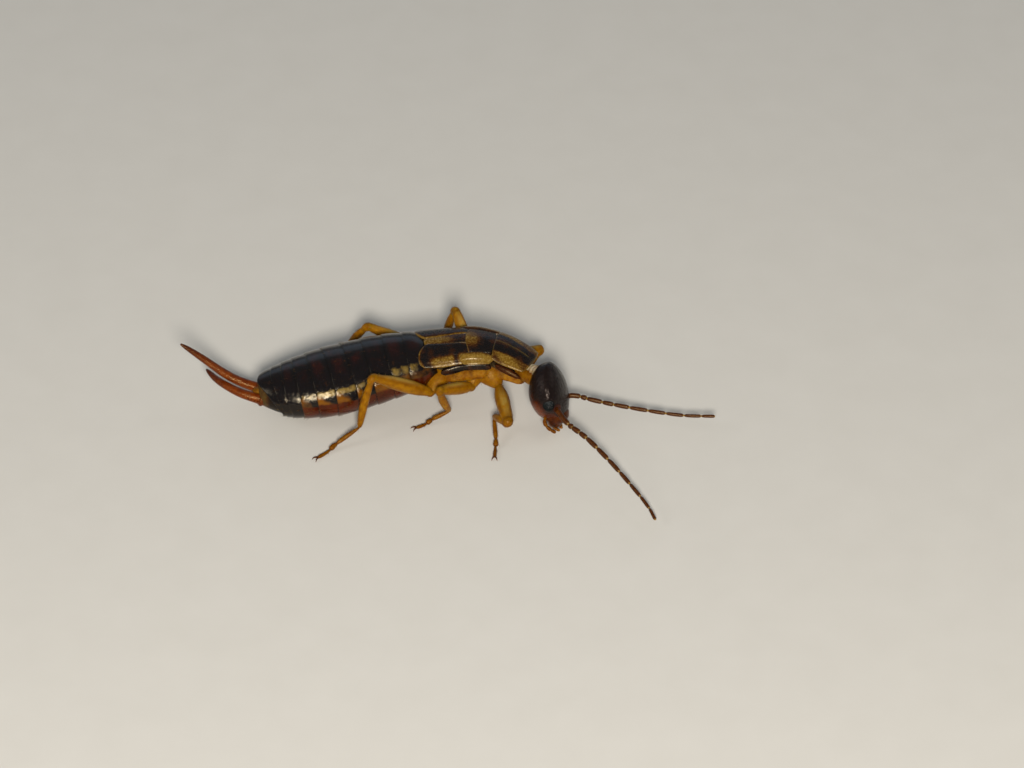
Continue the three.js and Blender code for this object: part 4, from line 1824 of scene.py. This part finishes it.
@dataclass
class Neck:
    """The pale folded skin between the thorax and the head."""

    girth: Pairs = ((0.0, 0.32), (0.5, 0.27), (1.0, 0.36))
    throat_girth: Pairs = ((0.0, 0.36), (0.5, 0.27), (1.0, 0.3))
    folds: int = 7
    fold_height: float = 0.018

    @staticmethod
    def path(x: float, sunk: float, end: np.ndarray, bend: Point) -> Spline:
        """A curve from inside the thorax to the head, bent a little in its middle.

        Args:
            x: Where it starts along the body.
            sunk: How far under the body's middle it starts, as a share of the body's half height.
            end: Where it ends.
            bend: How far its middle is moved.

        Returns:
            The curve.
        """
        centre, _, up, _, high = LINE.section(x)
        start = centre - up * high * sunk
        return Spline([start, (start + end) / 2 + np.array(bend), end])

    def skin(self) -> Form:
        """The folded skin.

        Returns:
            The closed form.
        """
        spline = self.path(2.7, 0.3, HEAD.point(-0.55, 0.0, -0.2), (0.03, 0.02, 0.03))
        form = tube(spline, self.girth, tall=((0.0, 1.3), (1.0, 1.1)), around=48, rings=60, blunt=0.3)
        along = form.marks["along"]
        wave = np.sin(along * math.pi * 2 * self.folds)
        fold = wave * self.fold_height * np.sin(along * math.pi)
        out = form.points - np.array([spline.at(share)[0] for share in along])
        far = np.maximum(np.linalg.norm(out, axis=1), 1e-6)
        form.points = form.points + out / far[:, None] * fold[:, None]
        # Darker in the creases between folds: painted shade; darker also along the lower side
        creased = 0.35 * (wave < -0.6)
        return form.marked(dark=np.maximum(creased, np.clip((form.marks["turn"] - 0.32) * 5, 0, 1)))

    def throat(self) -> Form:
        """The smooth skin under it."""
        spline = self.path(2.45, 0.45, HEAD.point(-0.45, 0.0, -0.45), (0.0, 0.0, 0.02))
        return tube(spline, self.throat_girth, around=40, rings=44, blunt=0.3).marked(dark=0.1)

    def build(self, finishes: Finishes) -> None:
        """Makes the neck."""
        piece("neck_skin", self.skin(), finishes.neck, Slot.NECK, "neck")
        piece("throat_skin", self.throat(), finishes.breast, Slot.NECK)


@dataclass
class Head:
    """The skull with its seams and cheeks, and the faceted eyes."""

    long: float = 1.083
    wide: float = 0.94
    top: float = 0.44
    bottom: float = 0.86
    rings: int = 110
    around: int = 120
    # Half the eye's length, depth and height
    eye: Point = (0.26, 0.19, 0.23)
    eye_fineness: int = 5
    facet_rise: float = 0.006
    facet_crown: float = 0.72
    width: Pairs = ((0, 0.62), (0.12, 0.78), (0.4, 0.98), (0.6, 1), (0.8, 0.84), (0.93, 0.6), (1, 0.45))
    height: Pairs = ((0, 0.62), (0.15, 0.85), (0.42, 1), (0.7, 1), (0.88, 0.92), (1, 0.62))
    # The middle of a feeler's socket: forward, outward and up
    socket: Point = (0.47, 0.63, 0.22)
    # The rims round the eye and the socket: height, distance from the middle and width
    eye_rim: Point = (0.012, 0.27, 0.03)
    socket_rim: Point = (0.035, 0.14, 0.035)
    blunt: float = 0.6
    seam_depth: float = 0.025
    seam_width: float = 0.022
    # Where the two arms of the seam part, and how fast they spread
    seam_fork: float = -0.15
    seam_spread: float = 0.75

    def skull(self) -> Form:
        """The skull.

        Returns:
            The closed form, marked for its finish.
        """
        rings, around = self.rings, self.around
        rows = np.zeros((rings, around, 3))
        marks: dict[str, np.ndarray] = {}
        for r in range(rings):
            share = eased(r, rings)
            size = rounded(share, self.blunt)
            forward = (2 * share - 1) * self.long
            broad = self.wide * between(self.width, share) * size
            tall = between(self.height, share)
            for a in range(around):
                angle = FULL_TURN * a / around
                rise = math.cos(angle)
                left = broad * math.sin(angle)
                up = (self.top if rise > 0 else self.bottom) * tall * size * rise
                orbit = self.away(forward, left, up, HEAD.EYE)
                pit = self.away(forward, left, up, self.socket)
                rims = self.rim(orbit, *self.eye_rim) + self.rim(pit, *self.socket_rim)
                scale = 1 - self.seam(forward, left, rise) + rims
                rows[r, a] = HEAD.point(forward, left * scale, up * scale)
                for name, value in self.painted(forward, rise, pit).items():
                    marks.setdefault(name, np.zeros((rings, around)))[r, a] = value
        return barrel(rows, marks)

    @staticmethod
    def painted(forward: float, rise: float, pit: float) -> Marks:
        """The marks at a place of the skull.

        Args:
            forward: The place towards the mouth from the head's middle.
            rise: How far it is up towards the crown, from -1 to 1.
            pit: How far it is from the nearer feeler's socket.

        Returns:
            The marks by name.
        """
        lift = 0.35 * smooth(rise, 0.2, 0.5)
        brow = smooth(forward, 0.35 + lift, 0.8 + lift)
        cheek = smooth(-rise, -0.1, 0.45) * smooth(forward, -0.3, 0.45)
        ring = 1 - smooth(pit, 0.12, 0.26)
        under = 0.6 * smooth(-rise, 0.3, 0.7) * smooth(forward, -0.6, -0.1)
        return {
            "warm": max(brow, cheek, 0.6 * ring, under),
            "amber": max(cheek * smooth(-rise, 0.05, 0.6), 0.2 * ring, 0.45 * brow),
        }

    @staticmethod
    def rim(away: float, height: float, middle: float, width: float) -> float:
        """How high a rounded rim is at a distance from its middle."""
        return height * bell(away, middle, width)

    @staticmethod
    def away(forward: float, left: float, up: float, spot: Point) -> float:
        """How far a place is from the nearer of the two spots mirrored about the head's middle."""
        return math.hypot(forward - spot[0], abs(left) - spot[1], up - spot[2])

    def seam(self, forward: float, left: float, rise: float) -> float:
        """How deep the Y-shaped seam on the crown is at a place, as a share of the radius.

        Args:
            forward: The place towards the mouth from the head's middle.
            left: The place to the left.
            rise: How far it is up towards the crown, from -1 to 1.

        Returns:
            The depth.
        """
        if rise < 0.1:
            return 0.0
        apart = max(0.0, forward - self.seam_fork) * self.seam_spread
        reach = 1 - smooth(forward, 0.35, 0.5)
        deep = self.seam_depth * bell(abs(left) - apart, 0, self.seam_width)
        return deep * reach * smooth(rise, 0.1, 0.4)

    def eyeball(self, side: Side) -> Item:
        """A ball of fine triangles in one eye's place, to be cut into facets.

        Args:
            side: The side of the animal.

        Returns:
            The ball, not yet in the scene.
        """
        ball = bmesh.new()
        bmesh.ops.create_icosphere(ball, subdivisions=self.eye_fineness, radius=1.0)
        for vertex in ball.verts:
            forward, out, up = (at + x * half for at, x, half in zip(HEAD.EYE, vertex.co, self.eye))
            vertex.co = Vector(HEAD.point(forward, side.value * out, up) * MM + ZERO)
        bmesh.ops.recalc_face_normals(ball, faces=ball.faces)
        mesh = bpy.data.meshes.new(f"eyeball_{side.word}")
        ball.to_mesh(mesh)
        ball.free()
        return bpy.data.objects.new(f"eyeball_{side.word}", mesh)

    def build(self, finishes: Finishes) -> None:
        """Makes the skull and the eyes.

        Args:
            finishes: The materials.
        """
        piece("skull", self.skull(), finishes.head, Slot.HEAD, "head")
        tree = EyeTree(finishes.eyes)
        for side in Side:
            ball = self.eyeball(side)
            eye = grown(f"facet_eye_{side.word}", ball, tree, Rise=self.facet_rise * MM,
                        Crown=self.facet_crown)
            bpy.data.objects.remove(ball)
            settled(eye, Slot.EYES, f"eye_{side.word}")


@dataclass
class Mouth:
    """The face plate, upper lip, jaws and the two pairs of palps."""

    face: tuple[Point, ...] = ((0.5, 0, -0.08), (0.86, 0, -0.1), (1.15, 0, -0.15))
    lip: tuple[Point, ...] = ((1.04, 0, -0.05), (1.17, 0, -0.11), (1.27, 0, -0.17))
    jaw: tuple[Point, ...] = ((0.66, 0.34, -0.2), (0.96, 0.33, -0.2), (1.16, 0.2, -0.2), (1.24, 0.05, -0.2))
    palp: tuple[Point, ...] = (
        (0.6, 0.35, -0.3), (0.92, 0.5, -0.4), (1.06, 0.52, -0.36), (1.22, 0.47, -0.28), (1.39, 0.37, -0.14))
    lip_palp: tuple[Point, ...] = (
        (0.75, 0.12, -0.3), (1.0, 0.2, -0.36), (1.24, 0.2, -0.22), (1.4, 0.16, -0.05))
    palp_girth: float = 0.075
    lip_palp_girth: float = 0.06
    # Where each palp's segments begin and end along it
    palp_cuts: tuple[float, ...] = (0.0, 0.12, 0.24, 0.55, 0.78, 1.0)
    lip_palp_cuts: tuple[float, ...] = (0.0, 0.3, 0.6, 1.0)
    segment: Pairs = ((0, 0.8), (0.5, 1), (0.85, 1.05), (1, 0.9))

    def tubes(self) -> list[Form]:
        """The lip, face plate and jaws.

        Returns:
            The forms.
        """
        face = tube(HEAD.path(self.face), ((0, 0.55), (0.6, 0.52), (1, 0.4)), tall=((0.0, 0.85),),
                    around=48, rings=34, blunt=0.35)
        lip = tube(HEAD.path(self.lip), ((0, 0.26), (0.6, 0.27), (1, 0.22)), tall=((0.0, 0.4),),
                   around=36, rings=22, blunt=0.4)
        forms = [face.marked(dark=0.2), lip.marked(dark=0.1)]
        for side in Side:
            jaw = tube(HEAD.path(self.jaw, side.value), ((0, 0.17), (0.5, 0.14), (0.85, 0.08), (1, 0.04)),
                       tall=((0.0, 0.8),), around=24, rings=24)
            forms.append(jaw.marked(dark=0.35 + 0.6 * np.clip(jaw.marks["along"] * 2 - 1, 0, 1)))
        return forms

    def palps(self, side: Side) -> list[Form]:
        """The segments of the palps of one side.

        Args:
            side: The side of the animal.

        Returns:
            The forms.
        """
        forms = []
        for path, girth, cuts in ((self.palp, self.palp_girth, self.palp_cuts),
                                  (self.lip_palp, self.lip_palp_girth, self.lip_palp_cuts)):
            spline = HEAD.path(path, side.value)
            for low, high in zip(cuts, cuts[1:]):
                form = tube(spline, scaled(self.segment, girth * (1 - 0.25 * low)), start=low,
                            end=min(high + 0.02, 1.0), around=18, rings=14, floor=0.03)
                forms.append(form.marked(dark=0.75 - 0.4 * (form.marks["along"] > 0.85)))
        return forms

    def build(self, finishes: Finishes) -> None:
        """Makes the mouth's pieces.

        Args:
            finishes: The materials.
        """
        piece("face_and_jaws", joined(self.tubes()), finishes.jaws, Slot.MOUTH, "mouth")
        for side in Side:
            palps = joined(self.palps(side))
            piece(f"palps_{side.word}", palps, finishes.legs, Slot.MOUTH, f"palp_{side.word}")


@dataclass
class Feelers:
    """The two feelers, of ten segments on the left and eleven on the right."""

    roots: dict[Side, float] = field(default_factory=lambda: {Side.LEFT: 0.097, Side.RIGHT: 0.11})
    tip: float = 0.058
    rings: int = 340
    around: int = 24
    lengths: dict[Side, tuple[float, ...]] = field(default_factory=lambda: {
        Side.LEFT: (0.63, 0.22, 0.57, 0.41, 0.57, 0.67, 0.64, 0.65, 0.62, 0.49),
        Side.RIGHT: (0.98, 0.16, 0.33, 0.33, 0.57, 0.62, 0.68, 0.62, 0.66, 0.6, 0.55),
    })
    paths: dict[Side, tuple[Point, ...]] = field(default_factory=lambda: {
        Side.LEFT: ((4.18, -1.31, 0.93), (4.36, -1.18, 0.97), (4.66, -1.17, 0.95), (5.1, -1.27, 0.88),
                    (5.89, -1.45, 0.8), (7.07, -1.7, 0.73), (8.36, -1.92, 0.68), (9.5, -2.05, 0.74)),
        Side.RIGHT: ((3.83, -2.22, 1.36), (3.91, -2.4, 1.33), (4.1, -2.74, 1.25), (4.31, -3.04, 1.19),
                     (4.91, -3.59, 1.05), (5.66, -4.52, 0.85), (6.39, -5.54, 0.62), (7.07, -6.63, 0.4),
                     (7.3, -7.18, 0.3)),
    })

    def line(self, side: Side) -> Item:
        """A feeler's path as a line of edges.

        Args:
            side: The side of the animal.

        Returns:
            The line, not yet in the scene.
        """
        points = Spline(self.paths[side]).samples * MM + ZERO
        mesh = bpy.data.meshes.new(f"feeler_path_{side.word}")
        mesh.from_pydata([tuple(p) for p in points], [(i, i + 1) for i in range(len(points) - 1)], [])
        return bpy.data.objects.new(f"feeler_path_{side.word}", mesh)

    def build(self, finishes: Finishes) -> None:
        """Makes the feelers.

        Args:
            finishes: The materials.
        """
        for side in Side:
            tree = FeelerTree(finishes.feelers, self.lengths[side])
            path = self.line(side)
            feeler = grown(f"feeler_{side.word}", path, tree, Root=self.roots[side] * MM,
                           Tip=self.tip * MM, Rings=self.rings, Around=self.around)
            bpy.data.objects.remove(path)
            settled(feeler, Slot.ANTENNAE, f"antenna_{side.word}")


@dataclass(frozen=True)
class LegPlan:
    """The joints of one leg, from its root in the breast to the tip of its foot."""

    name: str
    root: Point
    hip: Point
    knee: Point
    ankle: Point
    foot: Point
    toe: Point
    stout: float = 0.9
    knee_girth: float = 0.152

    def places(self) -> list[np.ndarray]:
        """The joints in order."""
        return [np.array(p, float) for p in (self.root, self.hip, self.knee, self.ankle, self.foot, self.toe)]


@dataclass
class Leg:
    """One leg: hip joint, thigh, shin, a foot of three segments and two claws."""

    plan: LegPlan
    coxa: float = 0.29
    thigh: float = 0.25
    shin: float = 0.15
    foot: float = 0.078
    # How far along the thigh it is thickest, in millimetres
    swell_at: float = 0.7
    # How far the knee reaches into the thigh and into the shin, and how far from its middle it bends
    knee_reach: Point = (0.32, 0.3, 0.1)
    plain_knee: float = 0.152
    # Radii beside the part's own, at shares of its length
    coxa_shape: Pairs = ((0, 1.15), (0.35, 1.05), (0.7, 0.8), (1, 0.55))
    knee_shape: Pairs = ((0, 0.85), (0.35, 1), (0.65, 1), (1, 0.8))
    foot_shape: Pairs = ((0, 0.75), (0.5, 1), (0.85, 1.08), (1, 0.9))
    claw_girth: Pairs = ((0, 0.03), (0.5, 0.024), (1, 0.006))
    # Where each foot segment starts and ends along the foot, and its size
    foot_cuts: tuple[Point, ...] = ((0.0, 0.52, 1.0), (0.5, 0.68, 1.15), (0.66, 1.0, 0.8))
    foot_darks: tuple[float, ...] = (0.5, 0.6, 0.65)
    # A claw's curve: forward, outward and up from the floor under the foot's tip
    claw: tuple[Point, ...] = (
        (-0.05, 0.015, 0.08), (0.05, 0.05, 0.1), (0.12, 0.085, 0.075), (0.155, 0.1, 0.02))

    def upper(self) -> list[Form]:
        """The hip joint, the ball under it and the thigh.

        Returns:
            The three forms.
        """
        root, hip, knee, *_ = self.plan.places()
        bulk = self.plan.knee_girth
        swell = hip + unit(knee - hip) * self.swell_at
        coxa = tube(Spline([root, (root + hip) / 2, hip], (1.0, 0.0, 0.0)),
                    scaled(self.coxa_shape, self.coxa), tall=((0.0, 1.6), (0.5, 1.5), (1.0, 1.15)),
                    rings=34, around=40, blunt=0.12)
        ball = tube(Spline([hip - unit(hip - root) * 0.1, hip, swell * 0.3 + hip * 0.7]),
                    ((0, 0.13), (0.5, 0.165), (1, 0.13)), rings=18, blunt=0.5)
        girth = ((0, 0.15), (0.3, self.thigh * self.plan.stout), (0.65, self.thigh * 0.92 * self.plan.stout),
                 (0.84, bulk * 1.14), (0.95, bulk), (1, bulk * 0.75))
        thigh = tube(Spline([hip, swell, (swell + knee) / 2, knee + unit(knee - swell) * 0.04]), girth,
                     rings=48, blunt=0.06)
        return [coxa, ball, thigh]

    def lower(self) -> list[Form]:
        """The knee and the shin.

        Returns:
            The two forms.
        """
        _, hip, knee, ankle, *_ = self.plan.places()
        bulk = self.plan.knee_girth
        back, on = unit(hip + unit(knee - hip) * self.swell_at - knee), unit(ankle - knee)
        up, down, near = self.knee_reach
        joint = tube(Spline([knee + back * up, knee + back * near, knee + on * near, knee + on * down]),
                     scaled(self.knee_shape, bulk), rings=36, around=32, blunt=0.3)
        bend = (knee + ankle) / 2 + unit(np.cross(knee - ankle, (0.0, 1.0, 0.0))) * 0.04
        girth = ((0, bulk * 0.8), (0.15, bulk * 0.9), (0.5, self.shin), (0.85, self.shin * 0.9), (1, 0.12))
        return [joint, tube(Spline([knee + on * 0.08, bend, ankle]), girth, rings=32, blunt=0.4)]

    def feet(self) -> list[Form]:
        """The foot's segments.

        Returns:
            The three forms.
        """
        *_, ankle, foot, toe = self.plan.places()
        sole = np.array([*(foot + (toe - foot) * 0.45)[:2], toe[2] + 0.02])
        sweep = Spline([ankle, foot, sole, toe + np.array((0, 0, 0.01))])
        return [
            tube(sweep, scaled(self.foot_shape, self.foot * size), start=low, end=high, rings=20, around=20,
                 blunt=0.4, floor=0.0)
            for low, high, size in self.foot_cuts
        ]

    def parts(self) -> list[Form]:
        """The leg's segments with their marks.

        Returns:
            The forms from the hip to the foot.
        """
        root, hip, knee, ankle, foot, toe = self.plan.places()
        coxa, ball, thigh = self.upper()
        joint, shin = self.lower()
        knee_dark = 0.15 + 9 * (self.plan.knee_girth - self.plain_knee)
        along, turn = thigh.marks["along"], thigh.marks["turn"]
        middle = bell(along, 0.55, 0.28)
        # A pale band along the top of the thigh: painted highlight
        thigh.marked(stripe=0.8 * bell(turn, 0.06, 0.11) * middle)
        streak = 0.3 * bell(turn, 0.26, 0.06) * middle + knee_dark * np.clip(along * 5 - 4, 0, 1)
        rows = [
            (coxa, 0.12, 0.0, hip - root), (ball, 0.15, None, knee - hip), (thigh, 0.0, streak, knee - hip),
            (joint, knee_dark, 0.0, ankle - knee), (shin, 0.12, None, ankle - knee),
            *zip(self.feet(), self.foot_darks, (None,) * 3, (foot - ankle, toe - foot, toe - foot)),
        ]
        for form, dark, more, way in rows:
            ends = 0.35 * np.abs(form.marks["along"] * 2 - 1) ** 8 if more is None else more
            form.marked(dark=np.clip(dark + ends, 0, 1), hairy=0.35 if dark < 0.3 else 1.0).lying(way)
        return [row[0] for row in rows]

    def claws(self) -> list[Form]:
        """The two claws at the tip of the foot.

        Returns:
            The two forms.
        """
        *_, foot, toe = self.plan.places()
        way = unit((toe - foot) * (1, 1, 0))
        forms = []
        for side in Side:
            out = np.cross(UPWARDS, way) * side.value
            path = [toe + way * f + out * a + np.array((0, 0, z - toe[2])) for f, a, z in self.claw]
            forms.append(tube(Spline(path), self.claw_girth, around=12, rings=16, blunt=0.3, floor=0.0))
        return [form.marked(dark=0.3) for form in forms]

    def build(self, finishes: Finishes) -> None:
        """Makes the leg and its claws.

        Args:
            finishes: The materials.
        """
        name = self.plan.name
        nodes = [f"{name}_{part}" for part in ("femur", "tibia", "tarsus")]
        form = joined(self.parts())
        piece(f"{name}_segments", form, finishes.legs, Slot.LEGS, *nodes)
        coat = Bristles(density=110, length=0.1, girth=0.0045, seed=5)
        coat.grow(f"{name}_bristles", form, finishes.bristle_tree, Slot.LEGS)
        piece(f"{name}_claws", joined(self.claws()), finishes.claws, Slot.LEGS)


LEG_PLANS = (
    LegPlan("foreleg_left", (1.6, 0.35, 1.55), (2.2, 0.75, 1.12), (3.38, 1.2, 1.22), (2.75, 0.75, 0.45),
            (2.3, 0.95, 0.18), (1.9, 1.15, 0.06)),
    LegPlan("foreleg_right", (1.48, -0.4, 1.55), (1.85, -0.85, 1.12), (2.2, -2.78, 1.04), (1.68, -1.88, 0.6),
            (1.75, -2.7, 0.2), (1.71, -3.5, 0.06), 1.02, 0.185),
    LegPlan("midleg_left", (0.95, 0.36, 1.58), (0.85, 0.95, 1.22), (0.29, 2.1, 2.3), (-0.1, 2.4, 0.6),
            (-0.6, 2.5, 0.2), (-1.1, 2.6, 0.06)),
    LegPlan("midleg_right", (1.0, -0.3, 1.6), (0.9, -0.88, 1.15), (-0.25, -1.85, 1.75), (0.1, -1.4, 0.45),
            (-0.5, -1.55, 0.2), (-1.09, -1.88, 0.06)),
    LegPlan("hindleg_left", (-0.25, 0.4, 1.5), (-0.55, 1.15, 1.0), (-2.85, 1.9, 1.69), (-3.6, 2.0, 0.6),
            (-4.1, 2.05, 0.2), (-4.55, 2.15, 0.06), 1.0),
    LegPlan("hindleg_right", (-0.2, -0.35, 1.5), (-0.55, -1.15, 1.1), (-2.6, -1.95, 2.44), (-3.07, -2.5, 0.6),
            (-3.9, -2.95, 0.2), (-4.54, -3.55, 0.06), 1.0),
)


@dataclass
class Forceps:
    """The two arms of the forceps, thick and toothed at their roots and drawn out to sharp tips."""

    paths: dict[Side, tuple[Point, ...]] = field(default_factory=lambda: {
        Side.LEFT: ((-6.35, -0.87, 0.92), (-7.45, -0.66, 1.27), (-7.96, -0.6, 1.6), (-8.62, -0.52, 2.13),
                    (-9.05, -0.5, 2.49), (-9.39, -0.5, 2.77)),
        Side.RIGHT: ((-6.3, -1.38, 0.88), (-7.2, -1.27, 1.13), (-7.75, -0.98, 1.23), (-8.2, -0.55, 1.25),
                     (-8.54, -0.1, 1.3)),
    })
    girth: Pairs = (
        (0, 0.24), (0.08, 0.22), (0.2, 0.19), (0.45, 0.165), (0.75, 0.135), (0.93, 0.095), (1, 0.05))
    collar_girth: Pairs = ((0, 0.2), (0.5, 0.25), (1, 0.23))
    collar_reach: tuple[float, float] = (0.04, 0.14)
    # Where the teeth stand along each arm
    teeth: tuple[float, ...] = (0.1, 0.14, 0.18, 0.22, 0.26)
    tooth_girth: Pairs = ((0, 0.045), (0.5, 0.035), (1, 0.012))
    plate_path: tuple[Point, ...] = ((-6.5, -1.08, 1.12), (-6.72, -1.12, 1.13), (-6.88, -1.15, 1.12))
    plate_girth: Pairs = ((0, 0.2), (0.6, 0.17), (1, 0.1))

    def arm(self, side: Side) -> Form:
        """One arm, with the collar it turns in and its row of small teeth.

        Args:
            side: The side of the animal.

        Returns:
            The closed forms as one.
        """
        spline = Spline(self.paths[side])
        form = tube(spline, self.girth, tall=((0.0, 1.0), (0.4, 0.9), (1.0, 0.85)), around=36, rings=80,
                    blunt=0.12)
        form.marked(dark=np.clip((form.marks["along"] - 0.5) / 0.45, 0, 1) ** 1.3 * 0.95)
        start, end = self.collar_reach
        collar = tube(spline, self.collar_girth, start=start, end=end, around=36, rings=16, blunt=0.5)
        forms = [form, collar.marked(dark=0.45)]
        for share in self.teeth:
            point, _, left, _ = spline.at(share)
            inward = left * -side.value
            root = point + inward * between(self.girth, share) * 0.8
            tooth = Spline([root, root + inward * 0.05, root + inward * 0.085])
            forms.append(tube(tooth, self.tooth_girth, around=12, rings=10).marked(dark=0.6))
        return joined(forms)

    def end_plate(self) -> Form:
        """The small plate between the roots of the arms.

        Returns:
            The closed form.
        """
        plate = tube(Spline(self.plate_path), self.plate_girth, tall=((0.0, 0.8),), around=32, rings=20,
                     blunt=0.4)
        return plate.marked(dark=0.35)

    def build(self, finishes: Finishes) -> None:
        """Makes the arms and the plate between them.

        Args:
            finishes: The materials.
        """
        for side in Side:
            node = f"forceps_{side.word}"
            piece(f"forceps_arm_{side.word}", self.arm(side), finishes.forceps, Slot.FORCEPS, node)
        piece("end_plate", self.end_plate(), finishes.breast, Slot.ABDOMEN)


# The studio


@dataclass
class Studio:
    """The floor, the lights and the camera, which looks down on the animal's right side as the photo does."""

    elevation: float = 39.0
    lens: float = 200.0
    sensor: float = 36.0
    width: int = 1024
    height: int = 768
    scale: float = 28.0
    zero_at: tuple[float, float] = (447.0, 396.0)
    near: float = 0.01
    far: float = 5.0
    floor_reach: float = 1.5
    lamps_away: float = 0.16
    sky: Colour = (0.8, 0.85, 0.9)
    sky_strength: float = 0.21

    def camera(self) -> None:
        """Sets the camera so that the model's zero falls on its pixel, at the photo's scale."""
        tilt = math.radians(self.elevation)
        back = np.array((0.0, -math.cos(tilt), math.sin(tilt)))
        right = np.array((1.0, 0.0, 0.0))
        up = np.cross(back, right)
        focal = self.lens / self.sensor * self.width
        away = focal / self.scale * MM
        shift = [(self.zero_at[0] - self.width / 2) / focal, (self.zero_at[1] - self.height / 2) / focal]
        spot = ZERO + away * (back - right * shift[0] + up * shift[1])
        data = bpy.data.cameras.new("camera")
        data.lens, data.sensor_width = self.lens, self.sensor
        data.clip_start, data.clip_end = self.near, self.far
        camera = linked("camera", data)
        camera.matrix_world = Matrix([*np.stack([right, up, back, spot], axis=1).tolist(), [0, 0, 0, 1]])
        bpy.context.scene.camera = camera

    def softbox(self, name: str, azimuth: float, elevation: float, power: float,
                size: tuple[float, float], colour: Colour = (1, 1, 1)) -> None:
        """Hangs an area light round the animal and aims it at the middle.

        Args:
            name: The light's name.
            azimuth: Degrees from the animal's right side towards its head.
            elevation: Degrees above the floor.
            power: Its power in watts.
            size: Its width and height in metres.
            colour: Its colour.
        """
        data = bpy.data.lights.new(name, "AREA")
        data.shape, data.size, data.size_y = "RECTANGLE", *size
        data.energy, data.color = power, colour
        lamp = linked(name, data)
        a, e = math.radians(azimuth), math.radians(elevation)
        way = Vector((math.sin(a) * math.cos(e), -math.cos(a) * math.cos(e), math.sin(e)))
        lamp.location = way * self.lamps_away
        lamp.rotation_euler = way.to_track_quat("Z", "Y").to_euler()

    def floor(self) -> None:
        """Lays the floor."""
        mesh = bpy.data.meshes.new("floor")
        reach = self.floor_reach
        corners = [(x * reach, y * reach, 0) for x, y in ((-1, -1), (1, -1), (1, 1), (-1, 1))]
        mesh.from_pydata(corners, [], [(0, 1, 2, 3)])
        mesh.materials.append(Floor().material())
        linked("floor", mesh)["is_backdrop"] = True

    def build(self) -> None:
        """Sets everything up."""
        self.camera()
        self.floor()
        self.softbox("key", 2, 34, 0.3, (0.026, 0.024), (1.0, 0.96, 0.9))
        self.softbox("sky", 180, 24, 0.02, (0.2, 0.06), (0.5, 0.7, 1.0))
        self.softbox("fill", -75, 35, 0.03, (0.06, 0.05))
        self.softbox("rim", 110, 30, 0.01, (0.06, 0.04), (1.0, 0.97, 0.93))
        world = bpy.data.worlds.new("studio")
        world.use_nodes = True
        sky = world.node_tree.nodes["Background"].inputs
        sky["Color"].default_value = (*self.sky, 1)
        sky["Strength"].default_value = self.sky_strength
        bpy.context.scene.world = world
        bpy.context.scene.view_settings.view_transform = "Standard"


def write_sizes() -> None:
    """Measures the solids' box and the dressed model's box as plain numbers; nothing is written or compared.
    """
    boxes = {"cad": CAD_BOX, "visual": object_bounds()}
    plain = {name: [[float(x) for x in corner] for corner in box] for name, box in boxes.items()}


def main() -> None:
    """Builds the animal and the studio."""
    logging.basicConfig(level=logging.INFO, format="%(name)s: %(message)s")
    Studio().build()
    finishes = Finishes.mixed()
    parts = [Abdomen(), Back(), Thorax(), Neck(), Head(), Mouth(), Feelers(), Forceps(),
             *(Leg(plan) for plan in LEG_PLANS)]
    for part in parts:
        part.build(finishes)
    write_sizes()


if __name__ == "__main__":
    main()
